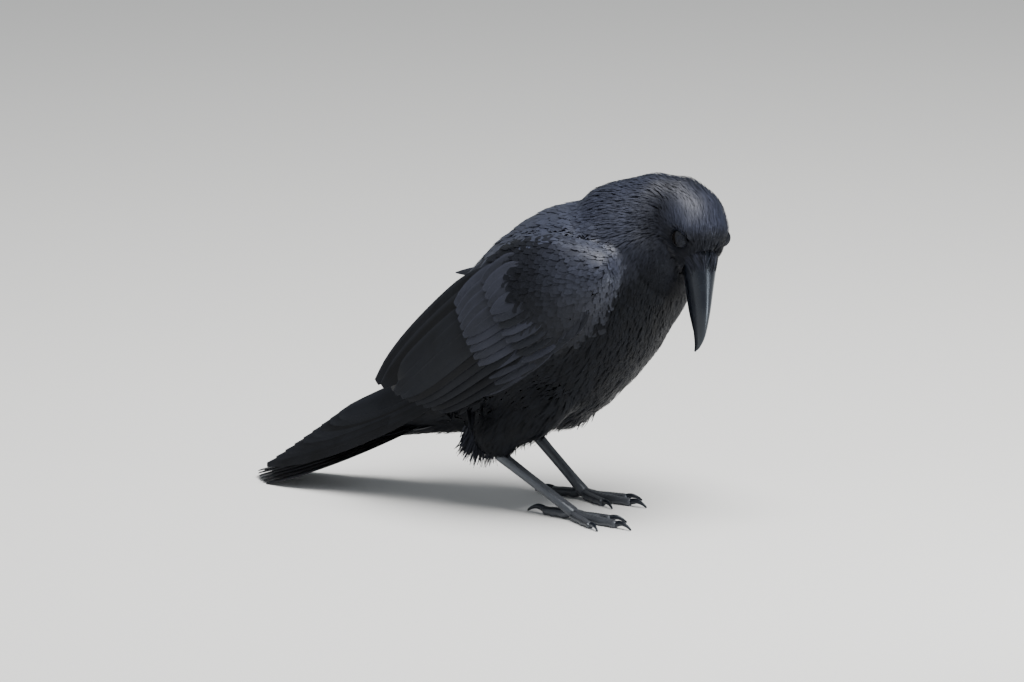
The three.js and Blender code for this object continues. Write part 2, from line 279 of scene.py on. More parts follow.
def plumage_finish(name, fringe=0.0, gloss=0.085):
    """Feathers: barbs run out from the shaft, each feather has its own tone, and the tip may be paler.

    The feathers are painted with sheen: from none on the black breast to a paler violet grey on the crown and
    the mantle, where the overhead light falls, and their coat is glossier there.
    """
    c = colours()
    finish = Finish(
        name,
        Sheen_Weight=0.02,
        Sheen_Roughness=0.4,
        Sheen_Tint=(0.8, 0.85, 1.0, 1.0),
        Specular_IOR_Level=gloss,
        Specular_Tint=COOL,
        Coat_Roughness=0.45,
        Coat_Tint=(0.74, 0.83, 1.0, 1.0),
    )
    across, along = finish.uv("vane")
    tone = finish.attribute("tone")
    tint = finish.attribute("tint")
    out = (across - 0.5).size()
    barbs = ((along * 46 - out * 34 + tone * 9) * HALF_TURN).sine()
    fine = finish.noise(900, 2)
    depth = (tone * 0.4 + fine * 0.6).step(0.05, 1.0)
    edge = (along + out * 0.35).step(0.7, 1.05) * fringe
    dark = finish.mix(depth, rgba(c.black, 0.7), rgba(c.blue, 0.75))
    # pale is painted sheen: the paler violet grey laid on the crown and the mantle where the overhead light
    # falls
    pale = finish.mix(depth, rgba(c.violet, 0.6), rgba(c.violet, 1.3))
    return finish.set(
        Base_Color=finish.mix(edge, finish.mix(tint, dark, pale), rgba(c.violet, 2.4)),
        Roughness=0.46 + (fine - 0.5) * 0.2 + (tone - 0.5) * 0.1,
        Coat_Weight=tint * (0.36 + tone * 0.18),
        Normal=finish.bump(barbs * 0.5 + fine * 0.5, 0.25, 0.0002),
    )


def flight_finish(name, colour, pale, rims=1.7, gloss=0.2):
    """Flight feathers: smooth closed vanes with fine oblique barbs, a ridged shaft and a paler rim."""
    finish = Finish(name, Sheen_Weight=0.02, Specular_IOR_Level=gloss, Specular_Tint=COOL)
    across, along = finish.uv("vane")
    tone = finish.attribute("tone")
    out = (across - 0.42).size()
    barbs = ((along * 150 - out * 60) * HALF_TURN).sine()
    streaks = finish.noise(260, 3, finish.places((1, 0.2, 0.2)))
    rim = out.step(0.36, 0.56) * 0.7 + along.step(0.9, 1.0) * 0.3
    shaft = 1 - out.step(0.0, 0.05)
    body = finish.mix((tone * 0.5 + streaks * 0.5).step(0.2, 0.85), rgba(colour, 0.7), rgba(pale, 0.85))
    return finish.set(
        Base_Color=finish.mix(rim, body, rgba(pale, rims)),
        Roughness=0.4 + (streaks - 0.5) * 0.25,
        Normal=finish.bump(barbs * 0.35 + shaft * 2, 0.4, 0.0002),
    )


# ------------------------------------------------------------------ meshes


def new_object(name, mesh, material, replaced=()):
    """Puts a finished mesh in the scene, riding on the body."""
    piece = bpy.data.objects.new(name, mesh)
    bpy.context.scene.collection.objects.link(piece)
    mesh.materials.append(material)
    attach(piece, BODY)
    if replaced:
        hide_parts(*replaced)


def finished(bm, name, material, replaced=()):
    """Makes a smooth piece from a bmesh."""
    mesh = bpy.data.meshes.new(name)
    bm.to_mesh(mesh)
    bm.free()
    mesh.shade_smooth()
    new_object(name, mesh, material, replaced)


def node_mesh(*nodes):
    """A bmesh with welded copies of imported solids."""
    bm = bmesh.new()
    for node in nodes:
        bm.from_mesh(bpy.data.objects[node].data)
    bmesh.ops.remove_doubles(bm, verts=bm.verts, dist=1e-6)
    return bm


def node_tree(*nodes):
    """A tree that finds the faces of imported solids."""
    bm = node_mesh(*nodes)
    tree = BVHTree.FromBMesh(bm)
    bm.free()
    return tree


def spot_tree(spots):
    """A tree that finds the spots near a place."""
    tree = KDTree(len(spots))
    for i, spot in enumerate(spots):
        tree.insert(spot, i)
    tree.balance()
    return tree


# ------------------------------------------------------------------ skin

FLESH = ("head", "neck", "trunk", "thigh_right", "thigh_left", "wing_right", "wing_left")
HEAD, NECK, TRUNK, THIGH_RIGHT, THIGH_LEFT, WING_RIGHT, WING_LEFT = range(len(FLESH))
FACE_DEPTH = 0.0012  # how far the skin lies under the plumage of the face and the ankles
WING_DEPTH = 0.003
WING_END = 100  # in millimetres along the wing, from where the skin is drawn back under the feathers
WING_TUCK = 0.0005  # how far, for each millimetre that a place lies past that


def is_wing(regions):
    """Whether each of the regions is a wing."""
    return regions >= WING_RIGHT


def is_thigh(regions):
    """Whether each of the regions is a thigh."""
    return (regions == THIGH_RIGHT) | (regions == THIGH_LEFT)


def evaluated(piece):
    """The piece's mesh with its modifiers applied, as a new mesh."""
    bpy.context.view_layer.update()
    graph = bpy.context.evaluated_depsgraph_get()
    return bpy.data.meshes.new_from_object(piece.evaluated_get(graph))


def vertex_arrays(mesh):
    """The places and normals of a mesh's vertices."""
    places, normals = (np.empty(len(mesh.vertices) * 3) for _ in range(2))
    mesh.vertices.foreach_get("co", places)
    mesh.vertices.foreach_get("normal", normals)
    return places.reshape(-1, 3), normals.reshape(-1, 3)


def region_of(places):
    """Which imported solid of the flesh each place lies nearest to."""
    trees = [node_tree(node) for node in FLESH]

    def nearest(spot):
        return min(range(len(trees)), key=lambda k: trees[k].find_nearest(spot)[3])

    return np.array([nearest(Vector(spot)) for spot in places])


def flesh_shell():
    """The flesh as one closed mesh, its joins softened."""
    bm = node_mesh(*FLESH)
    rough = bpy.data.meshes.new("skin_rough")
    bm.to_mesh(rough)
    bm.free()
    piece = bpy.data.objects.new("skin_rough", rough)
    bpy.context.scene.collection.objects.link(piece)
    whole = piece.modifiers.new("whole", "REMESH")
    whole.mode = "VOXEL"
    whole.voxel_size = sizes().skin_grain
    soft = piece.modifiers.new("soft", "SMOOTH")
    soft.factor = 0.5
    soft.iterations = 15
    mesh = evaluated(piece)
    bpy.data.objects.remove(piece)
    return mesh


def skin_mesh():
    """One closed skin over all the flesh, under the plumage by the coat's depth."""
    mesh = flesh_shell()
    places, normals = vertex_arrays(mesh)
    regions = region_of(places)
    tree = BVHTree.FromPolygons([Vector(p) for p in places], [tuple(f.vertices) for f in mesh.polygons])
    depth = coat_depth(places, regions)
    for i, (p, n) in enumerate(zip(map(Vector, places), map(Vector, normals))):
        through = tree.ray_cast(p - n * 1e-4, -n)[3]
        if through is not None:
            depth[i] = min(depth[i], 0.4 * through)  # thin places keep a skin on both sides
    places -= normals * spread(mesh, depth, 3)[:, None]
    wing = spread(mesh, is_wing(regions) * 1.0, 4)
    past = np.maximum(off_wing(places)[0] - WING_END, 0)
    places -= np.outer(WING_TUCK * past * wing, WING_WAY)
    mesh.vertices.foreach_set("co", places.ravel())
    mesh.update()
    bm = bmesh.new()
    bm.from_mesh(mesh)
    smoothed(bm, 3)
    for part in loose_parts(bm)[1:]:
        bmesh.ops.delete(bm, geom=part, context="VERTS")
    bm.to_mesh(mesh)
    bm.free()
    mesh.shade_smooth()
    mesh.name = "skin"
    return mesh


def smoothed(bm, times):
    """Eases every vertex of a bmesh towards its neighbours."""
    axes = {"use_axis_x": True, "use_axis_y": True, "use_axis_z": True}
    for _ in range(times):
        bmesh.ops.smooth_vert(bm, verts=bm.verts, factor=0.5, **axes)


def loose_parts(bm):
    """The separate shells of a bmesh, largest first."""
    left = set(bm.verts)
    parts = []
    while left:
        front = [left.pop()]
        part = list(front)
        while front:
            near = {e.other_vert(v) for v in front for e in v.link_edges} & left
            left -= near
            front = list(near)
            part += front
        parts.append(part)
    return sorted(parts, key=len, reverse=True)


def spread(mesh, values, times=1):
    """Each vertex's value averaged with its neighbours', some times over."""
    edges = np.empty(len(mesh.edges) * 2, dtype=int)
    mesh.edges.foreach_get("vertices", edges)
    a, b = edges.reshape(-1, 2).T
    count = np.bincount(a, minlength=len(values)) + np.bincount(b, minlength=len(values))
    for _ in range(times):
        total = np.bincount(a, values[b], len(values)) + np.bincount(b, values[a], len(values))
        values = 0.5 * values + 0.5 * total / np.maximum(count, 1)
    return values


def spread_ways(mesh, ways):
    """Each vertex's direction averaged with its neighbours', not yet one long."""
    return np.stack([spread(mesh, part) for part in ways.T], axis=1)


def forward_on_head(places):
    """How far places lie ahead of the eyes, in metres."""
    return (places - on_head(0, 0, 0)) @ np.array(BILL_WAY)


def coat_depth(places, regions):
    """How far the skin lies under the plumage: least at the bill, on the wings and at the ankles."""
    deep = sizes().coat_depth
    depth = np.full(len(places), deep)
    face = smooth(0.022, -0.02, forward_on_head(places))
    depth = np.where(regions == HEAD, FACE_DEPTH + 0.0022 * face, depth)
    depth = np.where(is_wing(regions), WING_DEPTH, depth)
    ankle = smooth(0.036, 0.07, places[:, 2])
    return np.where(is_thigh(regions), FACE_DEPTH + (deep - FACE_DEPTH) * ankle, depth)


# The way the coat lies: places on the bird's middle or left, in millimetres, and the direction of the
# feathers there.
LIE_LEFT = (
    ((0, -45, 215), (0, 1, 0.05)),
    ((0, 0, 205), (0, 0.85, -0.5)),
    ((0, 60, 160), (0, 0.8, -0.6)),
    ((0, 110, 90), (0, 0.85, -0.6)),
    ((35, -45, 195), (0.1, 0.95, -0.25)),
    ((30, -70, 165), (0.15, 0.6, -0.8)),
    ((0, -82, 140), (0, 0.3, -0.95)),
    ((0, -60, 95), (0, 0.6, -0.8)),
    ((0, -20, 58), (0, 0.95, -0.3)),
    ((0, 50, 42), (0, 0.97, -0.2)),
    ((0, 110, 32), (0, 0.9, -0.4)),
    ((45, 0, 85), (0, 0.85, -0.55)),
    ((28, 15, 65), (0, 0.55, -0.85)),
    ((28, 50, 40), (0, 0.6, -0.8)),
    ((56, 20, 140), (-0.05, 0.83, -0.56)),
    ((47, -38, 160), (0.05, 0.83, -0.56)),
    ((38, -50, 166), (0, 0.35, -0.93)),
    ((41, -47, 150), (0, 0.4, -0.9)),
)
# The same for both sides.
LIE = [
    (place(side * x, y, z), (side * out, back, up))
    for (x, y, z), (out, back, up) in LIE_LEFT
    for side in ((1, -1) if x else (1,))
]


def lie_at(places, regions):
    """The direction of the coat at each place: from the bill back over the head, then along LIE."""
    spots = np.array([spot for spot, _ in LIE])
    ways = unit(np.array([way for _, way in LIE], dtype=float))
    apart = np.linalg.norm(places[:, None, :] - spots[None], axis=2)
    weight = 1 / np.maximum(apart, 0.004) ** 4
    way = unit((weight[:, :, None] * ways[None]).sum(axis=1))
    back = np.array(-BILL_WAY)
    from_middle = places - on_head(0, 0, 0)
    outwards = from_middle - (from_middle @ back)[:, None] * back
    on_the_head = unit(back + 6 * outwards + np.array((0, 0.25, 0)))
    behind = smooth(-0.012, -0.034, forward_on_head(places))[:, None]
    behind = np.where((regions == HEAD)[:, None], behind, 1)
    return unit(on_the_head * (1 - behind) + way * behind)


def at_eye(side, out=18.5):
    """A place at an eye, in millimetres out from the middle of the head."""
    return on_head(1, 3.5, -side * out)


def around_eyes(places):
    """The coat parts round the eyes: a push away from each, strongest at its rim."""
    push = np.zeros_like(places)
    rim, fade = 0.0045, 0.0022
    for _, side in SIDES:
        away = places - at_eye(side)
        far = np.linalg.norm(away, axis=1, keepdims=True)
        push += away / far * np.exp(-np.maximum(far - rim, 0) / fade)
    return push


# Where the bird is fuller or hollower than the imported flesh: the place, how far it reaches and by how much,
# in millimetres.
FULLNESS = [
    (place(-3, -58, 214), 15, 3.6),  # nape
    (on_head(7, 15, 0), 5, -1.0),  # hollow above the bill
    (on_head(8, 9, -16), 5, 1.8),  # left brow
    (place(15, -67, 134), 12, 2.6),  # throat
    (place(8, 4, 56), 24, 6),  # belly
    (place(-22, 44, 48), 14, 3),  # vent
]
for _, side in SIDES:
    FULLNESS += [
        (on_head(-2, 9, -side * 15.5), 5, 1.9),  # brow
        (on_head(8, 13, -side * 7), 4.5, -1.2),  # furrow over the brow
        (at_eye(side), 5, -1.0),  # eye socket
        (on_head(-9, -9, -side * 19), 8, -2.6),  # behind the eye
        (on_head(2, -15, -side * 12), 7, 1.5),  # cheek
        (place(side * 45, -37, 168), 6, 1.8),  # front edge of the wing
        (place(side * 47.5, -37, 158), 6, 2.0),
        (place(side * 48.5, -33, 147), 6, 1.6),
        (place(side * 37, -48, 173), 4.5, -2.0),  # crease before the wing
        (place(side * 39, -49, 163), 4.5, -2.6),
        (place(side * 40.5, -47.5, 152), 4.5, -2.6),
        (place(side * 43, -42, 141), 4.5, -2.0),
        (place(side * 36, -31, 177.5), 4, -2.2),  # crease between the shoulder feathers and the wing
        (place(side * 36.5, -21, 178.5), 4, -2.4),
        (place(side * 36, -11, 179.5), 4, -2.2),
        (place(side * 35.5, -1, 179.5), 4, -1.6),
        (place(side * 29, -24, 182), 6, 1.4),  # shoulder feathers
        (place(side * 28, -8, 184), 6, 1.4),
    ]


def fullness(places):
    """How far the bird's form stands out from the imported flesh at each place."""
    extra = np.zeros(len(places))
    for spot, reach, amount in FULLNESS:
        away = np.linalg.norm(places - spot, axis=1) * 1000
        extra += amount / 1000 * np.exp(-((away / reach) ** 2))
    return extra


NORMAL_ROUNDS, LIE_ROUNDS = 5, 14  # how often the normals and the lie of the coat are averaged
EYE_PARTING = 1.6  # how strongly the coat parts round the eyes


class Surface:
    """The skin as arrays: places, normals, regions and the lie of the coat, with a tree that finds places."""

    def __init__(self, mesh):
        self.mesh = mesh
        self.co, self.normal = vertex_arrays(mesh)
        self.region = region_of(self.co)
        self.cover = self.covered()
        self.co += self.normal * fullness(self.co)[:, None]
        mesh.vertices.foreach_set("co", self.co.ravel())
        mesh.update()
        self.co, self.normal = vertex_arrays(mesh)
        self.even = self.normal
        for _ in range(NORMAL_ROUNDS):
            self.even = unit(spread_ways(mesh, self.even))
        way = lie_at(self.co, self.region)
        for _ in range(LIE_ROUNDS):
            way = spread_ways(mesh, way)
        way = unit(way) + EYE_PARTING * around_eyes(self.co)
        self.way = unit(way - dot(way, self.normal) * self.normal)
        self.tree = spot_tree(self.co)
        self.unwrap = self.unwrapped()
        mesh.calc_loop_triangles()
        corners = np.empty(len(mesh.loop_triangles) * 3, dtype=int)
        mesh.loop_triangles.foreach_get("vertices", corners)
        self.corners = corners.reshape(-1, 3)

    def covered(self):
        """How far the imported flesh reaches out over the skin, which is where the coat's face lies."""
        tree = node_tree(*FLESH)
        start, reach, usual, least, most = 0.014, 0.02, 0.003, 0.0008, 0.009
        cover = np.full(len(self.co), usual)
        for i, (p, n) in enumerate(zip(map(Vector, self.co), map(Vector, self.normal))):
            away = tree.ray_cast(p + n * start, -n, reach)[3]
            if away is not None:
                cover[i] = min(max(start - away, least), most)
        return spread(self.mesh, cover, 24)

    def unwrapped(self):
        """Where each vertex lies on an unwrap of the skin."""
        piece = bpy.data.objects.new("unwrap", self.mesh)
        bpy.context.scene.collection.objects.link(piece)
        bpy.context.view_layer.objects.active = piece
        piece.select_set(True)
        bpy.ops.object.mode_set(mode="EDIT")
        bpy.ops.mesh.select_all(action="SELECT")
        bpy.ops.uv.smart_project(angle_limit=1.15, island_margin=0.004)
        bpy.ops.object.mode_set(mode="OBJECT")
        layer = self.mesh.uv_layers.active
        layer.name = "unwrap"
        flat = np.empty(len(self.mesh.loops) * 2)
        layer.uv.foreach_get("vector", flat)
        owner = np.empty(len(self.mesh.loops), dtype=int)
        self.mesh.loops.foreach_get("vertex_index", owner)
        spots = np.zeros((len(self.mesh.vertices), 2))
        spots[owner] = flat.reshape(-1, 2)
        bpy.data.objects.remove(piece)
        return spots

    def nearest(self, places):
        """The vertex of the skin nearest to each place."""
        return np.array([self.tree.find(p)[1] for p in places])

    def onto(self, places):
        """The places moved onto the skin, with the nearest vertices and their shares, nearest first."""
        count, soft = 5, 0.0004
        found = np.array([[(i, far) for _, i, far in self.tree.find_n(p, count)] for p in places])
        near, far = found[..., 0].astype(int), found[..., 1]
        weight = 1 / (far + soft) ** 2
        weight = (weight / weight.sum(axis=1, keepdims=True))[..., None]
        middle = (self.co[near] * weight).sum(axis=1)
        normal = unit((self.even[near] * weight).sum(axis=1))
        return places - dot(places - middle, normal) * normal, normal, near, weight

    def scatter(self, wanted, spacing, seed):
        """Places on the skin where `wanted` is above 0, no nearer to each other than the spacing there."""
        rng = np.random.default_rng(seed)
        tris = self.corners[(wanted[self.corners] > 0).all(axis=1)]
        a, b, c = (self.co[tris[:, k]] for k in range(3))
        area = 0.5 * np.linalg.norm(np.cross(b - a, c - a), axis=1)
        close = spacing[tris].mean(axis=1)
        share = area / close**2
        count = int(share.sum() * 3.2)  # enough tries to fill every gap
        chosen = rng.choice(len(tris), count, p=share / share.sum())
        mix = np.sort(rng.random((count, 2)), axis=1)
        weights = np.stack((mix[:, 0], mix[:, 1] - mix[:, 0], 1 - mix[:, 1]), axis=1)
        spots = (self.co[tris[chosen]] * weights[:, :, None]).sum(axis=1)
        reach = close[chosen]
        tree = spot_tree(spots)
        free = np.ones(count, dtype=bool)
        kept = []
        for i in range(count):
            if free[i]:
                kept.append(i)
                for _, j, _ in tree.find_range(spots[i], reach[i]):
                    free[j] = False
        return spots[kept]

    def lines(self, roots, lengths, shares, turn, seek=0.5):
        """Centre lines that leave the roots along the coat and keep to the skin.

        Gives their places and normals, how high the coat's face lies over them, and the vertices nearest to
        the roots. seek is how fast they turn to the way the coat lies.
        """
        p, normal, near, weight = self.onto(roots)
        first = near[:, 0]
        way = turned(unit((self.way[near] * weight).sum(axis=1)), normal, turn)
        places, normals, covers = [p], [normal], [(self.cover[near] * weight[..., 0]).sum(axis=1)]
        for step in np.diff(shares):
            ahead, before = p + way * (lengths * step)[:, None], normal
            p, normal, near, weight = self.onto(ahead)
            # a feather runs on where the skin turns away
            stiff = smooth(0.8, 0.45, dot(before, normal)) * 0.9
            p, normal = p + (ahead - p) * stiff, unit(normal * (1 - stiff) + before * stiff)
            lie = turned(unit((self.way[near] * weight).sum(axis=1)), normal, turn)
            way = unit(way * (1 - seek) + lie * seek)
            way = unit(way - dot(way, normal) * normal)
            places.append(p)
            normals.append(normal)
            covers.append((self.cover[near] * weight[..., 0]).sum(axis=1))
        return np.stack(places, axis=1), np.stack(normals, axis=1), np.stack(covers, axis=1), first


def turned(ways, normals, angles):
    """Directions turned in the skin by angles."""
    angles = np.asarray(angles)[..., None]
    return ways * np.cos(angles) + np.cross(normals, ways) * np.sin(angles)


# ------------------------------------------------------------------ feathers


PATCH = 0.003  # how wide a feather's patch is on the unwrap of the skin


class Plumes:
    """Gathers feathers as arrays and makes one mesh of them."""

    def __init__(self, surface):
        self.surface = surface
        self.places, self.faces, self.normals = [], [], []
        self.vane, self.bake, self.tone, self.tint = [], [], [], []
        self.count = 0

    def add(
        self, line, normal, width, thick, roots=None, shares=None, tint=0.0, cup=0.05, skew=0.0, columns=3,
        seed=1, even=0.0,
    ):
        """Feathers along centre lines (N, K, 3): closed vanes with the outer face towards the normals.

        width is (N, K), or (K,) for all. cup bends the two sides down, skew moves the shaft off the middle,
        columns is how many points go across the outer face, and even is how much the shading keeps to the
        normals. roots are the skin's vertices that the feathers belong to, and shares where the points lie
        along a feather.
        """
        rng = np.random.default_rng(seed)
        n, k, _ = line.shape
        width = np.broadcast_to(width, (n, k))[..., None, None]
        thick = np.broadcast_to(thick, (n, k))[..., None, None]
        if columns == 3:
            across, under = np.array((-1.0, 0, 1, 0)), np.array((0.0, 0, 0, 1))
            caps = np.array(((3, 2, 1, 0),))
        else:
            row = np.linspace(-1, 1, columns)
            across = np.concatenate((row, row[::-1]))
            under = np.concatenate((np.zeros(columns), 0.4 + 0.6 * (1 - row**2)))
            i = np.arange(columns - 1)
            caps = np.stack((i + 1, i, 2 * columns - 1 - i, 2 * columns - 2 - i), axis=1)
        m = len(across)
        ahead = unit(np.gradient(line, axis=1))
        side = unit(np.cross(ahead, normal))
        out = np.cross(side, ahead)
        reach = (across + skew * (1 - across**2))[:, None] * width / 2
        drop = (across**2)[:, None] * cup * width + under[:, None] * thick
        grid = line[:, :, None] + side[:, :, None] * reach - out[:, :, None] * drop
        self.places.append(grid.reshape(-1, 3))
        faces_out = np.where(under > 0, -1.0, 1.0)[:, None]
        lean = (across * 0.2 * (1 - even))[:, None]  # the shading rounds the two sides a little
        facing = unit(out * (1 - even) + normal * even)
        self.normals.append(unit(facing[:, :, None] * faces_out + side[:, :, None] * lean).reshape(-1, 3))
        ring = np.arange(m)
        a = (np.arange(k - 1)[:, None] * m + ring).ravel()
        b = (np.arange(k - 1)[:, None] * m + (ring + 1) % m).ravel()
        sides = np.stack((a, b, b + m, a + m), axis=1)
        faces = np.concatenate((sides, caps, caps[:, ::-1] + m * (k - 1)))
        faces = faces[None] + (np.arange(n) * m * k)[:, None, None] + self.count
        self.faces.append(faces.reshape(-1, 4))
        self.count += n * m * k
        over = np.broadcast_to(across / 2 + 0.5, (n, k, m))
        share = np.linspace(0, 1, k) if shares is None else shares
        along = np.broadcast_to(share[None, :, None], (n, k, m))
        self.vane.append(np.stack((over, along), axis=-1).reshape(-1, 2))
        near = self.surface.nearest(line[:, 0]) if roots is None else roots
        spots = np.clip(self.surface.unwrap[near], PATCH, 1 - PATCH)
        patch = np.stack((over - 0.5, along - 0.5), axis=-1) * PATCH
        self.bake.append((spots[:, None, None, :] + patch).reshape(-1, 2))
        self.tone.append(np.repeat(rng.random(n), m * k))
        self.tint.append(np.repeat(np.broadcast_to(tint, n), m * k))

    def mesh(self, name):
        """One mesh of all the feathers, with their shading, their UV maps, their tone, and their paler tone
        and painted sheen.
        """
        places, faces = np.concatenate(self.places), np.concatenate(self.faces)
        mesh = bpy.data.meshes.new(name)
        mesh.vertices.add(len(places))
        mesh.vertices.foreach_set("co", places.ravel())
        mesh.loops.add(faces.size)
        mesh.loops.foreach_set("vertex_index", faces.ravel())
        mesh.polygons.add(len(faces))
        mesh.polygons.foreach_set("loop_start", np.arange(0, faces.size, 4))
        mesh.polygons.foreach_set("use_smooth", np.ones(len(faces), dtype=bool))
        mesh.update(calc_edges=True)
        mesh.normals_split_custom_set_from_vertices(np.concatenate(self.normals))
        for title, values in (("vane", self.vane), ("OFBake", self.bake)):
            layer = mesh.uv_layers.new(name=title)
            layer.uv.foreach_set("vector", np.concatenate(values)[faces.ravel()].ravel())
        for title, values in (("tone", self.tone), ("tint", self.tint)):
            layer = mesh.attributes.new(title, "FLOAT", "POINT")
            layer.data.foreach_set("value", np.concatenate(values))
        return mesh


def grown(
    surface, plumes, wanted, spacing, length, outline, lift, seed, steps=4, jitter=0.08, thick=0.00026, **look
):
    """Grows a coat where it is wanted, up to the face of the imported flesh.

    lift is how far the tips stand over that face, and outline the width along a feather as shares of its
    length. The sizes are over the skin's vertices or single. steps is how many points a feather has, or the
    shares of its length where they lie. jitter is how much the feathers turn away from the lie of the coat.
    """
    over = np.ones(len(surface.co))
    roots = surface.scatter(wanted, spacing * over, seed)
    rng = np.random.default_rng(seed + 1)
    near = surface.nearest(roots)
    n = len(roots)
    long = (length * over)[near] * rng.uniform(0.82, 1.18, n)
    share = np.linspace(0, 1, steps) if isinstance(steps, int) else np.array(steps)
    line, normal, cover, first = surface.lines(roots, long, share, rng.normal(0, jitter, n))
    rise = 0.3 + 0.7 * np.sin(share * np.pi / 2)
    depth = rng.uniform(-0.00012, 0.00012, n)[:, None] * share
    tips = (lift * over)[near] * rng.uniform(0.4, 1.6, n)
    height = cover * rise + depth + tips[:, None] * share**2
    line = line + normal * height[..., None]
    wide = np.interp(share, np.linspace(0, 1, len(outline)), outline)
    width = wide[None] * (long * rng.uniform(0.8, 1.2, n))[:, None]
    if "tint" in look:
        look["tint"] = (look["tint"] * over)[near]
    look.setdefault("even", 0.7)
    thinning = thick * (1 - 0.6 * share)
    plumes.add(line, normal, width, thinning, roots=first, shares=share, seed=seed + 2, **look)


# ------------------------------------------------------------------ the bird's surface, shared by the pieces

BUILT = {}


def surface():
    """The skin's surface. The skin is built before anything that grows on it."""
    if "surface" not in BUILT:
        raise RuntimeError("build the skin first")
    return BUILT["surface"]


def in_mm():
    """The skin's vertices in millimetres from the ground between the feet."""
    return (surface().co - BETWEEN_FEET) * 1000


def tuft_scale():
    """How long the coat is over the skin, in metres: least on the face, and growing towards the body."""
    away = np.linalg.norm(surface().co - on_head(0, 0, 0), axis=1)
    ahead = forward_on_head(surface().co)
    s = sizes()
    distances = (0.018, 0.035, 0.06, 0.09, 0.13)
    length = np.interp(away, distances, (s.head_tuft, 0.009, s.neck_tuft, 0.019, s.body_tuft))
    face = smooth(0.0, 0.016, ahead) * (away < 0.04)
    length = length * (1 - 0.5 * face)
    ankle = smooth(0.065, 0.038, surface().co[:, 2])
    return length * (1 - 0.45 * ankle)


def over_back(mm):
    """How far places stand over the line that parts the back from the flanks, in millimetres."""
    return mm[:, 2] + 0.62 * (mm[:, 1] + 40) - 165


def upward_on_head():
    """How far the skin's vertices lie above the eyes, towards the crown, in metres."""
    return (surface().co - on_head(0, 0, 0)) @ np.array(CROWN_WAY)


def tint():
    """How far the plumage is painted paler violet grey as sheen of the overhead light, and made glossier,
    over the skin: most on the crown, the nape and the mantle.
    """
    mm = in_mm()
    # painted sheen: the upper side of the bird is painted paler where the overhead light falls, fading
    # towards the tail; the same share makes the coat glossier
    painted_sheen_and_gloss = smooth(-18, 20, over_back(mm)) * (1 - 0.6 * smooth(-20, 70, mm[:, 1]))
    ahead, up = forward_on_head(surface().co) * 1000, upward_on_head() * 1000
    # painted sheen on the head: the crown and the back of the head are painted paler, the lower face less
    crown = smooth(-8, 8, up + 0.4 * ahead * (ahead > 0)) * smooth(5, -1, ahead)
    head = 0.2 + 0.8 * np.maximum(crown, smooth(-6, -20, ahead) * smooth(-12, 10, up) * 0.9)
    away = np.linalg.norm(surface().co - on_head(0, 0, 0), axis=1) * 1000
    near = smooth(40, 24, away)
    return painted_sheen_and_gloss * (1 - near) + head * near


def plant(name, wanted, material, spacing, outline, lift, seed, scale=1.0, steps=4, **look):
    """One piece of the coat: tufts as long as tuft_scale says, in the proportions of the outline."""
    plumes = Plumes(surface())
    length = tuft_scale() * scale
    # paints the sheen of the overhead light on the crown, the nape and the mantle, and makes their coat
    # glossier
    look["tint"] = tint()
    grown(surface(), plumes, wanted, length * spacing, length, outline, length * lift, seed, steps, **look)
    new_object(name, plumes.mesh(name), material)


def skin_piece():
    """The skin in its faintly folded finish, which shows only between the feathers."""
    mesh = skin_mesh()
    BUILT["surface"] = Surface(mesh)
    finish = Finish("crow_skin", Roughness=0.7)
    fold = finish.noise(220, 4, finish.places((1, 2.2, 1)))
    shade = finish.mix(fold, rgba(colours().black), rgba(colours().violet, 0.8))
    paint = finish.set(Base_Color=shade, Normal=finish.bump(fold, 0.5, 0.001))
    new_object("skin", mesh, paint, replaced=FLESH)


def rear_ends(facing, above):
    """The blunt rear ends of the trunk and the wings, as far as they face backwards above a height."""
    s = surface()
    return (s.normal @ WING_WAY > facing) & (s.co[:, 1] > 0.005) & (s.co[:, 2] > above)


def zone(wanted, rings=2):
    """The wanted part of the skin, grown by some rings of vertices so that neighbouring coats overlap.

    The blunt rear ends carry none of it: the feathers before them reach over.
    """
    for _ in range(rings):
        wanted = spread(surface().mesh, wanted * 1.0) > 0.02
    return wanted & ~rear_ends(0.5, 0.052)


def wing_region(side):
    """The vertices that lie nearest to a wing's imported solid."""
    return surface().region == (WING_LEFT if side > 0 else WING_RIGHT)


def on_wing(side):
    """The part of the skin that belongs to a folded wing, up to its rounded front edge."""
    s = surface()
    u, v = off_wing(s.co)
    front = (s.co[:, 0] * side > 0.0388) & (u > -9) & (u < 50) & (v > -21) & (v < 15) & (s.region == TRUNK)
    return wing_region(side) | front


def eye_patch():
    """0 within the eyes' openings, 1 elsewhere."""
    clear = np.ones(len(surface().co))
    for _, side in SIDES:
        away = np.linalg.norm(surface().co - at_eye(side, 18), axis=1)
        clear *= away > 0.0036
    return clear


# Outlines of small feathers: the width from the root to the tip, as shares of the length.
HAIRY = (0.12, 0.17, 0.15, 0.09, 0.02)
SOFT = (0.14, 0.24, 0.24, 0.16, 0.04)
FLUFFY = (0.08, 0.11, 0.1, 0.07, 0.02)
BROAD = (0.2, 0.29, 0.35, 0.38, 0.39, 0.38, 0.34, 0.24, 0.05)
SCALY = (0.25, 0.36, 0.44, 0.49, 0.51, 0.5, 0.45, 0.34, 0.08)
ROUNDED = (0, 0.42, 0.74, 0.93, 1)  # where a round-tipped feather has its points


def head_coat():
    """The short coat of the head, open at the eyes and the bill, and the hackles of the neck."""
    s = surface()
    bill_edge = 0.0155 + 0.012 * smooth(0.006, -0.004, upward_on_head())
    head = (s.region == HEAD) * eye_patch() * (forward_on_head(s.co) < bill_edge)
    paint = plumage_finish("crow_plumage")
    BUILT["plumage"] = paint
    plant("coat_head", head, paint, 0.12, HAIRY, 0.012, 11, thick=0.0002)
    neck = zone(s.region == NECK, 3) & (s.region != HEAD) & ~on_wing(1) & ~on_wing(-1)
    plant("coat_neck", neck * 1.0, paint, 0.095, HAIRY, 0.006, 21)


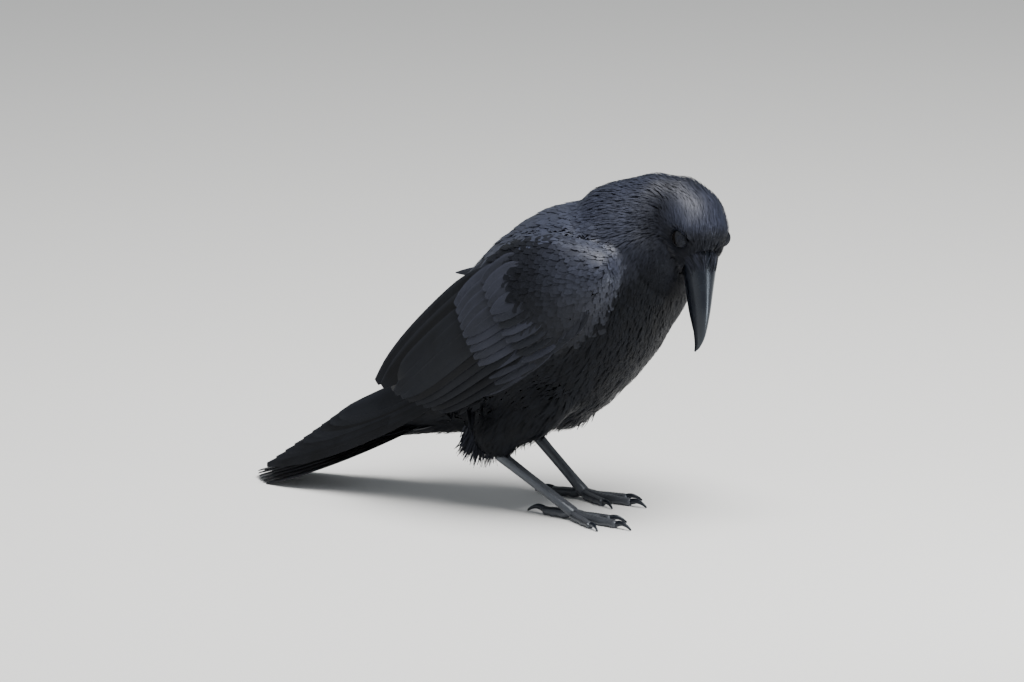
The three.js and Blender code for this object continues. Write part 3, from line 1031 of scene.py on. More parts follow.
def body_coat():
    """The coats of the back, the breast, the belly and the thighs."""
    s = surface()
    mm = in_mm()
    trunk = (s.region == TRUNK) & ~on_wing(1) & ~on_wing(-1)
    upper = over_back(mm) > 0
    front = (mm[:, 1] < 5) & ~upper
    back_paint = plumage_finish("crow_plumage_back", fringe=0.12, gloss=0.3)
    paint = BUILT["plumage"]
    plant("coat_back", zone(trunk & upper), back_paint, 0.13, BROAD, 0.006, 31, steps=ROUNDED)
    plant("coat_breast", zone(trunk & front), paint, 0.105, SOFT, 0.006, 32, steps=5)
    plant("coat_belly", zone(trunk & ~upper & ~front), paint, 0.115, SOFT, 0.01, 33, scale=0.8, steps=5)
    plant("coat_thighs", zone(is_thigh(s.region), 1), paint, 0.11, HAIRY, 0.02, 34, steps=5)


def loose_coat():
    """The fluff between the legs, the tufts of the vent, and a short coat round the wings' ends."""
    s = surface()
    mm = in_mm()
    paint = BUILT["plumage"]
    between = np.linalg.norm((mm - (6, 14, 52)) * (0.9, 0.8, 1), axis=1) < 30
    fluff = between & (s.normal[:, 2] < 0.1)
    plant("coat_fluff", fluff * 1.0, paint, 0.085, FLUFFY, 0.14, 36, scale=0.9, steps=6, jitter=0.3)
    vent = smooth(28, 14, np.linalg.norm((mm - (0, 60, 44)) * (0.65, 1, 1), axis=1))
    behind = (is_thigh(s.region) & (mm[:, 1] > 30) & (mm[:, 2] < 75)) | (vent > 0.1)
    plant("coat_vent", behind * 1.0, paint, 0.1, FLUFFY, 0.08, 35, scale=0.8, steps=6, jitter=0.25)
    vent_tufts(paint)
    along, above = off_wing(s.co)
    edges = is_wing(s.region) & (((above < -15) & (along > 45)) | (along > 104))
    plant("coat_edges", (edges | rear_ends(0.4, 0.05)) * 1.0, paint, 0.2, SOFT, 0.0, 39, scale=0.28)


def vent_tufts(paint):
    """Loose plumes that hang behind each thigh, curling a little outwards."""
    rng = np.random.default_rng(37)
    plumes = Plumes(surface())
    share = np.linspace(0, 1, 7)
    lowest = 0.012  # the plumes end above the toes
    for _, side in SIDES:
        n = 800 if side < 0 else 500
        across, back, drop = rng.uniform(11, 31, n), rng.uniform(42, 63, n), rng.uniform(45, 55, n)
        root = np.array([place(side * x, y, z) for x, y, z in zip(across, back, drop)])
        fan = (back - 52) * 0.022
        out, behind = side * rng.normal(0.05, 0.14, n), 0.22 + fan + rng.normal(0, 0.14, n)
        way = np.stack((out, behind, -np.ones(n)), axis=1)
        long = rng.uniform(0.01, 0.023, n) * (1 - 0.35 * np.abs(fan) / 0.24)
        line = root[:, None] + unit(way)[:, None] * (long[:, None] * share)[..., None]
        line[..., 0] += side * 0.0016 * share**2 * rng.uniform(-0.4, 1, n)[:, None]
        line[..., 1] += 0.0022 * share**2 * rng.uniform(-0.6, 1, n)[:, None]
        line[..., 2] = np.maximum(line[..., 2], lowest)
        facing = np.stack((side * np.ones(n), rng.normal(0.3, 0.4, n), rng.normal(0.1, 0.2, n)), axis=1)
        normal = np.zeros_like(line) + unit(facing)[:, None]
        wide = ramp(share, (0.0008, 0.001, 0.0009, 0.0006, 0.0002)) * rng.uniform(0.7, 1.3, n)[:, None]
        plumes.add(line, normal, wide, 0.00016, tint=rng.uniform(0.1, 0.45, n), even=0.3, seed=38)
    new_object("vent_tufts", plumes.mesh("vent_tufts"), paint)


# ------------------------------------------------------------------ wings

WING_WAY = np.array((0, 0.83, -0.558))  # along the folded wing
WING_UP = np.array((0, 0.558, 0.83))
WRIST = place(0, -40, 162)


def off_wing(s):
    """How far places lie along the folded wing and above its middle, in millimetres."""
    away = (s - WRIST) * 1000
    return away @ WING_WAY, away @ WING_UP


class Outline:
    """Finds the outer face of a wing, seen side-on."""

    def __init__(self, side, *nodes):
        self.side = side
        self.trees = [node_tree(node) for node in nodes]

    def at(self, along, above, fallback):
        """The wing's outer face at a place (millimetres), and its distance from the bird's middle."""
        spot = WRIST + (WING_WAY * along + WING_UP * above) / 1000
        start = Vector((self.side * 0.2, spot[1], spot[2]))
        hits = [tree.ray_cast(start, Vector((-self.side, 0, 0)))[0] for tree in self.trees]
        out = [abs(hit.x) for hit in hits if hit]
        x = max(out) if out else fallback
        return np.array((self.side * x, spot[1], spot[2])), x

    def line(self, points, lift):
        """A centre line over the wing through points (along, above), lifted off it by lift (millimetres)."""
        places = []
        x = 0.04
        for (along, above), up in zip(points, lift):
            p, x = self.at(along, above, x)
            places.append(p + np.array((self.side * up / 1000, 0, 0)))
        return relaxed(np.array(places))


def relaxed(line, times=3):
    """A centre line with its kinks eased."""
    for _ in range(times):
        line[1:-1] = line[1:-1] * 0.4 + (line[:-2] + line[2:]) * 0.3
    return line


def quill_row(outline, rows, steps):
    """Centre lines of a row of wing feathers.

    Each has its root and its tip (along, above), the lift of both off the wing, and a bend, in millimetres.
    """
    share = np.linspace(0, 1, steps)
    lines = []
    for (root_u, root_v), (tip_u, tip_v), (low, high), bend in rows:
        u = root_u + (tip_u - root_u) * share
        v = root_v + (tip_v - root_v) * share + bend * np.sin(np.pi * share)
        lines.append(outline.line(list(zip(u, v)), low + (high - low) * share))
    return np.array(lines)


# Outlines of large feathers: shares of their greatest width, from the root to the tip.
FLIGHT = (0.25, 0.62, 0.86, 0.97, 1, 1, 0.99, 0.97, 0.93, 0.86, 0.74, 0.55, 0.2)
COVERT = (0.4, 0.8, 1, 1, 0.97, 0.86, 0.64, 0.22)


SAG = 0.005  # how far a long feather bows down at its middle


def quills(plumes, side, outline, rows, width, vane, seed, steps=14):
    """Adds a row of wing feathers. width is the greatest width of each, in millimetres."""
    lines = quill_row(outline, rows, steps)
    wide = ramp(np.linspace(0, 1, steps), vane)[None] * np.array(width)[:, None] / 1000
    normal = np.broadcast_to(unit(np.array((side * 1.0, 0.12, 0.35))), lines.shape)
    plumes.add(lines, normal, wide, sizes().vane_thick, cup=0.06, skew=-side * 0.12, columns=7, seed=seed)


def primaries(plumes, side, count=9):
    """The longest feathers, a bundle that runs out under all the rest."""
    step = np.linspace(-0.05, 1, 22)
    lines = []
    for i, t in enumerate(np.linspace(1, 0, count)):
        root = place(side * (39 - 4.5 * t), 72 - 2 * t, 78 + 15 * t)
        way = unit(np.array((side * (-0.15 - 0.04 * t), 0.89, -0.432 - 0.018 * t)))
        line = root + way * (0.153 * (1 - 0.36 * t) * step)[:, None]
        line[:, 2] -= 4 * SAG * step * (1 - step)
        line[:, 0] += side * 0.0004 * (count - i)
        lines.append(line)
    lines = np.array(lines)
    wide = ramp(np.linspace(0, 1, 22), FLIGHT)[None] * np.linspace(20, 15, count)[:, None] / 1000
    normal = np.broadcast_to(unit(np.array((side * 0.9, 0.1, 0.4))), lines.shape)
    plumes.add(lines, normal, wide, sizes().vane_thick, cup=0.05, skew=side * 0.3, columns=7, seed=41)


def flight_piece(name, side, outline):
    """The primaries, and the secondaries from the lowest outwards to the ones on top."""
    plumes = Plumes(surface())
    primaries(plumes, side)
    n = 10
    low, tip_u, tip_v = np.linspace(-20, 40, n), np.linspace(152, 184, n), np.linspace(-17, 20, n)
    rows = [
        ((70 - 0.4 * i, low[i]), (tip_u[i], tip_v[i]), (-1.6 + 0.1 * i, 0.2 + 0.36 * i), 1.5)
        for i in range(n)
    ]
    quills(plumes, side, outline, rows, np.linspace(16, 24, n), FLIGHT, 42, steps=20)
    paint = flight_finish(f"crow_flight_{name}", colours().black, colours().blue, 1.5, 0.14)
    title = f"flight_{name}"
    new_object(title, plumes.mesh(title), paint, (f"wing_tip_{name}",))


def covert_piece(name, side, outline):
    """The rows of coverts over the flight feathers, and the tertials."""
    plumes = Plumes(surface())
    over_primaries = [
        ((38 + 4 * i, -16 - i), (84 + 6 * i, -25 + 0.6 * i), (-1.4, 0.9 - 0.1 * i), -1)
        for i in range(7)
    ]
    quills(plumes, side, outline, over_primaries, np.linspace(10, 11, 7), FLIGHT, 43)
    alula = [
        ((20 + 7 * i, -14 - i), (46 + 9 * i, -21 - 0.5 * i), (-1.6, 0.9 - 0.1 * i), -1)
        for i in range(3)
    ]
    quills(plumes, side, outline, alula, (9, 9.5, 10), COVERT, 44)
    n = 12
    greater = [
        ((58, v), (104 - 0.05 * abs(v), v * 0.92 - 1), (-1.4, 1.6 + 0.2 * i), 1)
        for i, v in enumerate(np.linspace(-22, 38, n))
    ]
    quills(plumes, side, outline, greater, np.linspace(11, 15, n), COVERT, 45)
    median = [
        ((46, v), (76, v * 0.97), (-1.2, 1.9 + 0.18 * i), 0.5)
        for i, v in enumerate(np.linspace(-19, 38, n))
    ]
    quills(plumes, side, outline, median, np.linspace(10, 13, n), COVERT, 46)
    tertials(plumes, side)
    if side > 0:
        raised_feather(plumes)
    paint = flight_finish(f"crow_covert_{name}", colours().blue, colours().violet, 1.0, 0.24)
    title = f"coverts_{name}"
    new_object(title, plumes.mesh(title), paint)


def tertials(plumes, side):
    """Five feathers over the back, between the wing and the rump."""
    spots = ((33, 40), (28, 44), (23, 50), (18, 58), (13, 68))
    n = len(spots)
    roots = np.array([place(side * x, y, 150 - 0.62 * y) for x, y in spots])
    share = np.linspace(0, 1, 14)
    long = np.array((0.082, 0.078, 0.07, 0.058, 0.046))
    lines, normals, cover, _ = surface().lines(roots, long, share, side * 0.03 * np.ones(n))
    lift = 0.0002 + 0.0016 * share[None] + 0.0003 * np.arange(n)[::-1, None]
    lines = lines + normals * (cover * (0.6 + 0.4 * share) + lift)[..., None]
    lines = np.array([relaxed(line, 6) for line in lines])
    wide = ramp(share, COVERT)[None] * np.array((18, 18, 17, 15, 13))[:, None] / 1000
    plumes.add(lines, normals, wide, sizes().vane_thick, cup=0.05, columns=7, seed=48)


def raised_feather(plumes):
    """One feather of the left shoulder that stands off the back."""
    share = np.linspace(0, 1, 9)
    root, tip = place(13, 64, 146), place(12, 89.5, 141)
    line = (root + (tip - root) * share[:, None])[None]
    normal = np.zeros_like(line) + unit(np.array((-0.5, 0.12, 0.86)))
    width = ramp(share, (0.7, 1, 1, 0.9, 0.6, 0.1)) * 0.009
    plumes.add(line, normal, width, 0.0005, cup=0.08, columns=7, seed=49)


def shoulder_piece(name, side):
    """The small coverts of the wing's front, painted palest at the shoulder as a highlight of the overhead
    light, and the ones along its top.
    """
    s = surface()
    u, v = off_wing(s.co)
    # painted highlight: the coverts round the top of the wrist are painted paler, fading with distance from
    # it
    painted_highlight = np.exp(-(np.linalg.norm((s.co - place(side * 42, -36, 172)) * 1000, axis=1) / 26) ** 2)
    plumes = Plumes(s)
    look = {"steps": ROUNDED, "cup": 0.025, "even": 0.85, "jitter": 0.06}
    front = zone(on_wing(side), 1) & (s.normal[:, 0] * side > -0.55) & (u < 58)
    long = np.interp(u, (-8, 15, 50), (0.0068, 0.0105, 0.0135))
    lift = 0.0003 + 0.0011 * smooth(25, 52, u)
    tints = 0.04 + 0.95 * painted_highlight
    grown(s, plumes, front, long * 0.19, long, SCALY, lift, 47 + 3 * side, thick=0.0002, tint=tints, **look)
    top = zone(wing_region(side) & (u >= 54) & (u < 112) & (v > 26), 1)
    grown(s, plumes, top, 0.0042, 0.024, BROAD, 0.0005, 57 + 3 * side, tint=0.2, **look)
    paint = plumage_finish(f"crow_coverts_{name}", fringe=0.03, gloss=0.13)
    title = f"shoulder_{name}"
    new_object(title, plumes.mesh(title), paint)


def wing_pieces(name, side):
    """A folded wing: its flight feathers, its coverts and its shoulder."""
    outline = Outline(side, f"wing_{name}", f"wing_tip_{name}")
    flight_piece(name, side, outline)
    covert_piece(name, side, outline)
    shoulder_piece(name, side)


# ------------------------------------------------------------------ tail


def tail_feathers():
    """Twelve tail feathers in pairs, the middle pair on top, their tips just off the ground."""
    pairs, long = 6, 161.04
    share = np.linspace(0, 1, 26)
    lines, normals = [], []
    for pair in range(pairs):
        for side in (-1, 1):
            fan = (pair + 0.35) / pairs
            root = place(side * fan * 9, 60, 78 - 0.9 * pair)
            tip = place(side * fan * 20, 60 + long * (1 - 0.06 * fan**2) - 1.2 * pair, 4.25 - 0.7 * pair)
            line = root + (tip - root) * share[:, None]
            line[:, 2] -= 4 * SAG * share * (1 - share)
            lines.append(line)
            normals.append(np.broadcast_to(unit(np.array((side * fan * 0.16, 0.4, 0.9))), line.shape))
    plumes = Plumes(surface())
    width = ramp(share, FLIGHT) * 0.023
    plumes.add(np.array(lines), np.array(normals), width, sizes().vane_thick, cup=0.03, columns=7, seed=61)
    paint = flight_finish("crow_tail", colours().black, colours().blue)
    new_object("tail_feathers", plumes.mesh("tail_feathers"), paint, ("tail",))


# The rows of tail coverts, over the tail (1) and under it (-1): y and z of their roots, then of their tips,
# in millimetres.
TAIL_COVERTS = (
    (1, (100, 66, 138, 43)),
    (1, (112, 59, 156, 34)),
    (1, (122, 54, 172, 26)),
    (-1, (84, 47, 126, 41)),
    (-1, (98, 45, 138, 36)),
    (-1, (108, 43, 150, 31)),
)


def tail_coverts():
    """The coverts over and under the roots of the tail feathers."""
    plumes = Plumes(surface())
    rng = np.random.default_rng(62)
    share = np.linspace(0, 1, 10)[:, None]
    bulge = 0.0025
    for face, (y0, z0, y1, z1) in TAIL_COVERTS:
        lines = []
        for x in np.linspace(-1, 1, 9):
            root = place(x * 15, y0 + rng.uniform(-3, 3), z0 - face * abs(x) * 4)
            tip_z = z1 - face * abs(x) * 3 + (2 if face > 0 else -1)
            tip = place(x * 17, y1 + rng.uniform(-4, 4) - 6 * abs(x), tip_z)
            line = root + (tip - root) * share
            lines.append(line + np.array((0, 0, bulge * face)) * np.sin(np.pi * share))
        lines = np.array(lines)
        normals = np.zeros_like(lines) + unit(np.array((0, 0.35, 0.9))) * face
        wide = ramp(share[:, 0], COVERT) * 0.012
        plumes.add(lines, normals, wide, 0.0005, cup=0.1, columns=5, seed=63 + y0, tint=0.1)
    new_object("tail_coverts", plumes.mesh("tail_coverts"), BUILT["plumage"])


# ------------------------------------------------------------------ bill, eyes, legs


def horn_finish(name, colour):
    """Satin horn with a fine grain along it and worn patches."""
    finish = Finish(
        name, Coat_Weight=0.4, Coat_Roughness=0.3, Coat_Tint=COLD, Specular_Tint=COLD, Specular_IOR_Level=0.2,
    )
    grain = finish.noise(420, 4, finish.places((1, 1, 0.25)))
    wear = finish.noise(90, 3)
    shade = finish.mix(grain * 0.6 + wear * 0.4, rgba(colour, 0.6), rgba(colour, 1.6))
    return finish.set(
        Base_Color=shade, Roughness=0.26 + (wear - 0.5) * 0.22, Normal=finish.bump(grain, 0.12, 0.0003)
    )


# Along the bill: the share of its length, half the width and the depth as shares, and how far it drops.
BILL = (
    (-0.16, 1.3, 0.7, -0.6),
    (-0.02, 1.22, 0.9, -0.2),
    (0.12, 1.13, 0.98, 0),
    (0.35, 0.87, 0.94, 0.2),
    (0.6, 0.6, 0.85, 0.5),
)
BILL_ENDS = {
    "bill_upper": ((0.82, 0.35, 0.64, 1.3), (0.94, 0.17, 0.37, 2.9), (1.0, 0.07, 0.13, 4.6)),
    "bill_lower": ((0.82, 0.36, 0.47, 1.0), (0.97, 0.14, 0.16, 1.6)),
}
# In millimetres: where the bill starts ahead of the eyes, and the upper half's length, half width and depth.
BILL_START, BILL_LONG, BILL_WIDE, BILL_DEEP = 14, 56, 8.75, 11.6
BILL_RISE = 0.8  # how far the cutting edges lie above the line between the eyes


def bill_span(share):
    """Half the width and the depth of the upper bill, in millimetres."""
    along, wide, deep, _ = np.array(BILL + BILL_ENDS["bill_upper"]).T
    return BILL_WIDE * np.interp(share, along, wide), BILL_DEEP * np.interp(share, along, deep)


def bill_section(x, y):
    """The bill bulges to a broad rounded ridge, and its cutting edge stands out as a fine lip."""
    return x * (1 - 0.08 * y * y + 0.05 * math.exp(-((y / 0.14) ** 2))), y * (1 + 0.24 * x * x)


def along_table(table, t):
    """Reads a table of even steps smoothly, at a share of its length."""
    scaled = t * (len(table) - 1)
    k = min(int(scaled), len(table) - 2)
    f = scaled - k
    a, b, c, d = (table[min(max(i, 0), len(table) - 1)] for i in (k - 1, k, k + 1, k + 2))
    return 0.5 * (2 * b + (c - a) * f + (2 * a - 5 * b + 4 * c - d) * f * f + (3 * b - a - 3 * c + d) * f**3)


def bill_form(stations):
    """Half the bill, drawn out of a ball. A station is (place, half width, above, below)."""
    bm = bmesh.new()
    bmesh.ops.create_uvsphere(bm, u_segments=48, v_segments=56, radius=1)
    places = np.array([station[0] for station in stations])
    spans = np.array([station[1:] for station in stations]) / 1000
    up = np.array(CROWN_WAY)
    body = 0.76  # the share of the rings between the two round ends
    tip = 0.0015  # how far the front end reaches past the last station
    for vert in bm.verts:
        x, y, z = vert.co
        t = math.asin(max(-1, min(1, z))) / math.pi
        mid = min(max(t / body + 0.5, 0), 1)
        past = max(0, (abs(t) - body / 2) / (0.5 - body / 2))
        reach = max(math.hypot(x, y), 1e-6)
        x, y = bill_section(*(part / reach * math.sqrt(max(0, 1 - past * past)) for part in (x, y)))
        way = unit(along_table(places, min(mid + 0.01, 1)) - along_table(places, max(mid - 0.01, 0)))
        side = unit(np.cross(way, up))
        top = np.cross(side, way)
        wide, above, below = along_table(spans, mid)
        high = above if y > 0 else below
        cap = tip * past if t > 0 else 0
        vert.co = along_table(places, mid) + side * x * wide + top * y * high + way * cap
    bmesh.ops.recalc_face_normals(bm, faces=bm.faces)
    return bm


def bill_pieces():
    """The two halves of the bill, shut, each with a thin flat side to the other."""
    paint = horn_finish("crow_bill", colours().horn)
    thin = 0.12
    halves = (("bill_upper", BILL_LONG, BILL_DEEP, BILL_WIDE), ("bill_lower", 51.5, 9.4, 0.94 * BILL_WIDE))
    for name, long, deep, half_width in halves:
        upper = name == "bill_upper"
        stations = []
        for share, wide, high, drop in (*BILL, *BILL_ENDS[name]):
            spot = on_head(BILL_START + share * long, BILL_RISE + (thin if upper else -thin) - drop, 0)
            above, below = (deep * high, thin) if upper else (thin, deep * high)
            stations.append((spot, half_width * wide, above, below))
        finished(bill_form(stations), f"horn_{name}", paint, (name,))
    bristles()


def bristles():
    """Stiff hair-like feathers that lie forward over the bill's base."""
    rng = np.random.default_rng(71)
    plumes = Plumes(surface())
    share = np.linspace(0, 1, 7)
    lines, normals, widths = [], [], []
    for i in range(240):
        side = 1 if i % 2 else -1
        spread_out = 80 if side > 0 else 52  # how far they reach down the side, in degrees
        angle = math.radians(8 + spread_out * rng.uniform(0, 1) ** 0.8)
        length = rng.uniform(5, 9.5) + 3 * math.sin(angle) ** 2
        start = rng.uniform(8, 14.5)
        lift = rng.uniform(0.1, 0.8)
        bend = rng.normal(0, 0.12)
        line, out = [], []
        for t in share:
            forward = start + t * length
            wide, high = bill_span((forward - BILL_START) / BILL_LONG)
            turn = angle * (1 - 0.4 * t) + bend * t * t
            rise = 1 + (lift * (0.6 + 0.4 * math.sin(t * 3)) + 1.2 * (1 - t)) / 11
            upward = BILL_RISE + high * math.cos(turn) * rise
            line.append(on_head(forward, upward, side * wide * math.sin(turn) * rise))
            out.append(np.array(CROWN_WAY) * math.cos(turn) + np.array(RIGHT_WAY) * side * math.sin(turn))
        lines.append(line)
        normals.append(out)
        widths.append(np.interp(share, (0, 0.3, 1), (0.00055, 0.00045, 0.00012)) * rng.uniform(0.7, 1.3))
    tints = rng.uniform(0, 0.8, len(lines))
    plumes.add(np.array(lines), np.array(normals), np.array(widths), 0.00022, tint=tints, seed=72)
    new_object("bill_bristles", plumes.mesh("bill_bristles"), BUILT["plumage"])


EYE_RADIUS = 0.0056
EYE_OUT = 14.4  # from the middle of the head to the middle of an eye, in millimetres
# The lids: on the crown's side or the bill's, how far each leaves the eye open (rad) and how thick it is.
LIDS = ((1, 0.2, 0.0005), (-1, 0.66, 0.00035))


def eye_pieces():
    """Dark glossy eyeballs under two lids that leave a narrow opening."""
    finish = Finish("crow_eye", Roughness=0.06, Specular_IOR_Level=0.4)
    paint = finish.set(Base_Color=(0.005, 0.004, 0.0035, 1))
    lid = Finish("crow_eyelid", Roughness=0.6, Specular_IOR_Level=0.25, Specular_Tint=COOL)
    grain = lid.noise(1100, 4)
    shade = lid.mix(grain, (0.003, 0.003, 0.004, 1), (0.01, 0.0105, 0.013, 1))
    lid_paint = lid.set(Base_Color=shade, Normal=lid.bump(grain, 0.6, 0.0008))
    for name, side in SIDES:
        centre = Vector(at_eye(side, EYE_OUT))
        bm = bmesh.new()
        bmesh.ops.create_uvsphere(bm, u_segments=40, v_segments=24, radius=EYE_RADIUS)
        bmesh.ops.translate(bm, verts=bm.verts, vec=centre)
        finished(bm, f"eyeball_{name}", paint, (f"eye_{name}",))

        outward = (-side * RIGHT_WAY + 0.1 * CROWN_WAY + 0.12 * BILL_WAY).normalized()
        along = (BILL_WAY - outward * BILL_WAY.dot(outward)).normalized()
        up = along.cross(outward)
        up = up if up.dot(CROWN_WAY) > 0 else -up
        lids = bmesh.new()
        hairs = Plumes(surface())
        for half, opening, grow in LIDS:
            way = up * half
            cut = (way * math.cos(opening) - outward * math.sin(opening)).normalized()
            radius = EYE_RADIUS + grow
            lids.from_mesh(lid_shell(centre + way * 0.0001, radius, cut))
            lid_hairs(hairs, centre, radius, np.array(cut), np.array(outward), np.array(way - 1.2 * along))
        finished(lids, f"eyelids_{name}", lid_paint, ())
        new_object(f"lid_plumes_{name}", hairs.mesh(f"lid_plumes_{name}"), BUILT["plumage"])


def lid_shell(centre, radius, cut):
    """A lid: the part of a ball that lies the way of the cut, closed where it was cut off."""
    ball = bmesh.new()
    bmesh.ops.create_uvsphere(ball, u_segments=40, v_segments=28, radius=radius)
    whole = ball.verts[:] + ball.edges[:] + ball.faces[:]
    split = bmesh.ops.bisect_plane(
        ball, geom=whole, dist=1e-7, plane_co=(0, 0, 0), plane_no=-cut, clear_outer=True
    )
    rim = [edge for edge in split["geom_cut"] if isinstance(edge, bmesh.types.BMEdge)]
    bmesh.ops.contextual_create(ball, geom=rim)
    bmesh.ops.recalc_face_normals(ball, faces=ball.faces)
    bmesh.ops.translate(ball, verts=ball.verts, vec=centre)
    part = bpy.data.meshes.new("lid")
    ball.to_mesh(part)
    ball.free()
    return part


def lid_hairs(plumes, centre, radius, cut, outward, way):
    """Tiny feathers over a lid, short of its rim, that lie back from the bill and away from the opening."""
    rng = np.random.default_rng(81)
    spots = unit(rng.normal(size=(1500, 3)))
    spots = spots[(spots @ cut > 0.16) & (spots @ outward > -0.15)][:330]
    share = np.linspace(0, 1, 4)
    run = way + rng.normal(0, 0.22, spots.shape)
    run = unit(run - dot(run, spots) * spots)
    length = rng.uniform(0.0017, 0.0027, len(spots)) / radius
    out = unit(spots[:, None] + run[:, None] * (length[:, None] * share)[..., None])
    height = radius + 0.00006 + 0.0002 * share * rng.uniform(0.4, 1, len(spots))[:, None]
    line = np.array(centre) + out * height[..., None]
    wide = np.array((0.0006, 0.0007, 0.00055, 0.0001))
    plumes.add(line, out, wide, 0.00012, tint=rng.uniform(0.0, 0.35, len(spots)), even=0.5, seed=82)


def rounded(node, grow, material, shift=(0, 0, 0)):
    """A finer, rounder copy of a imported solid, grown along its normals and never below the ground."""
    bm = node_mesh(node)
    bmesh.ops.subdivide_edges(bm, edges=bm.edges, cuts=1, use_grid_fill=True)
    smoothed(bm, 1)
    bmesh.ops.subdivide_edges(bm, edges=bm.edges, cuts=1, use_grid_fill=True)
    smoothed(bm, 2)
    bm.normal_update()
    moved = [vert.co + vert.normal * grow + Vector(shift) for vert in bm.verts]
    for vert, spot in zip(bm.verts, moved):
        vert.co = spot
        vert.co.z = max(spot.z, 0)
    tree = BVHTree.FromBMesh(bm)
    finished(bm, f"fine_{node}", material, (node,))
    return tree


# The ankle and the ball of each foot.
SHANKS = {
    "right": (place(-28, 38.5, 35.2), place(-28, -9, 5.5)),
    "left": (place(28, 48.6, 45.1), place(28, 9, 5.5)),
}


def scale_finish():
    """Dark horny skin, worn paler in patches."""
    finish = Finish("crow_scales", Specular_IOR_Level=0.6, Specular_Tint=(0.85, 0.92, 1, 1))
    grain = finish.noise(900, 3)
    wear = finish.noise(160, 3)
    scales = colours().scales
    return finish.set(
        Base_Color=finish.mix(wear * 0.6 + grain * 0.4, rgba(scales, 0.5), rgba(scales, 1.9)),
        Roughness=0.4 + (wear - 0.5) * 0.3,
        Normal=finish.bump(grain, 0.35, 0.0004),
    )


def leg_pieces():
    """The bare legs and toes with their scutes, and the claws."""
    paint = scale_finish()
    claw_paint = horn_finish("crow_claw", colours().horn)
    for name, _ in SIDES:
        plates = Plumes(surface())
        ankle, ball = SHANKS[name]
        ahead = unit(np.cross(unit(ball - ankle), (1.0, 0, 0)))
        ahead = ahead if ahead[2] > 0 else -ahead
        tree = rounded(f"tarsus_{name}", 0.0009, paint)
        place_plates(plates, tree, ankle, ball, ahead, 17, 0.0052, 80)
        for toe in TOES:
            node, claw = f"toe_{toe}_{name}", f"claw_{toe}_{name}"
            low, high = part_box(node)
            claw_low, claw_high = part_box(claw)
            middle = (low + high) / 2
            run = (claw_low + claw_high) / 2 - middle
            run.z = 0
            run.normalize()
            tree = rounded(node, 0.00045, paint)
            half = 0.5 * (abs(run.x) * (high.x - low.x) + abs(run.y) * (high.y - low.y))
            first, last = np.array(middle - run * (half - 0.004)), np.array(middle + run * (half - 0.0015))
            place_plates(plates, tree, first, last, np.array((0, 0, 1.0)), 11, 0.0044, 50)
            rounded(claw, 0.0003, claw_paint, -run * 0.0016)
        new_object(f"scutes_{name}", plates.mesh(f"scutes_{name}"), paint)


def place_plates(plates, tree, first, last, out, count, width, seed):
    """Horny plates over a limb, from first to last, on the side that out faces. Each overlaps the next."""
    step = (last - first) / count
    share = np.linspace(0, 1, 5)[:, None]
    lines = []
    for i in range(count):
        line = first + step * (i + share * 1.35)
        for k, spot in enumerate(line):
            hit = tree.ray_cast(Vector(spot + out * 0.02), Vector(-out), 0.04)[0]
            if hit:
                line[k] = np.array(hit) + out * (0.00005 + 0.0003 * share[k, 0])
        lines.append(relaxed(line, 1))
    lines = np.array(lines)
    normals = np.zeros_like(lines) + out
    wide = np.array((0.8, 1, 1, 0.95, 0.7)) * width
    plates.add(lines, normals, wide, 0.0004, cup=0.2, columns=7, seed=seed)


# ------------------------------------------------------------------ studio


# The area lamps: their place from the bird's middle, width, energy and colour.
LAMPS = {
    "key_light": ((-0.2, -0.5, 1.7), 1.3, 80, (1, 0.985, 0.96)),
    "fill_light": ((-1.9, 0.7, 0.9), 1.4, 5, (0.92, 0.96, 1)),
    "front_light": ((-0.25, -1.9, 0.15), 0.24, 3.5, (0.95, 0.98, 1)),
    "low_light": ((-0.05, -0.66, -0.05), 0.12, 1.1, (0.9, 0.95, 1)),
}
# The camera: its own right, up and back, and how far it lies along each from the ground between the feet.
CAMERA_WAYS = (
    Vector((0.4226, -0.9063, 0)),
    Vector((0.1884, 0.0879, 0.9781)),
    Vector((-0.8865, -0.4134, 0.2079)),
)
CAMERA_OFF = (-0.0406, 0.105, 6)
LENS, SENSOR = 337.5, 36  # focal length and width, in millimetres


def in_scene(name, data):
    """A new object of the studio."""
    piece = bpy.data.objects.new(name, data)
    bpy.context.scene.collection.objects.link(piece)
    return piece


def studio():
    """A plain floor, a soft sky, four area lamps and the camera."""
    scene = bpy.context.scene
    bm = bmesh.new()
    bmesh.ops.create_grid(bm, x_segments=2, y_segments=2, size=12)
    mesh = bpy.data.meshes.new("studio_floor")
    bm.to_mesh(mesh)
    bm.free()
    mesh.materials.append(Finish("studio_floor", Roughness=0.9).set(Base_Color=rgba(colours().floor)))
    floor = in_scene("studio_floor", mesh)
    world = bpy.data.worlds.new("studio_light")
    world.use_nodes = True
    sky = world.node_tree.nodes["Background"].inputs
    sky["Color"].default_value = (0.9, 0.95, 1.0, 1)
    sky["Strength"].default_value = 0.28
    scene.world = world
    middle = Vector(place(0, 30, 110))
    for name, (where, width, energy, colour) in LAMPS.items():
        light = bpy.data.lights.new(name, "AREA")
        light.size, light.energy, light.color = width, energy, colour
        lamp = in_scene(name, light)
        lamp.location = middle + Vector(where)
        lamp.rotation_mode = "QUATERNION"
        lamp.rotation_quaternion = (-Vector(where)).to_track_quat("-Z", "Y")
    lens = bpy.data.cameras.new("camera")
    lens.sensor_width, lens.lens = SENSOR, LENS
    lens.clip_start, lens.clip_end = 0.1, 100
    camera = in_scene("camera", lens)
    camera.location = sum((way * off for way, off in zip(CAMERA_WAYS, CAMERA_OFF)), Vector(BETWEEN_FEET))
    camera.rotation_mode = "QUATERNION"
    camera.rotation_quaternion = Matrix(CAMERA_WAYS).transposed().to_quaternion()
    scene.camera = camera


# ------------------------------------------------------------------ add-on


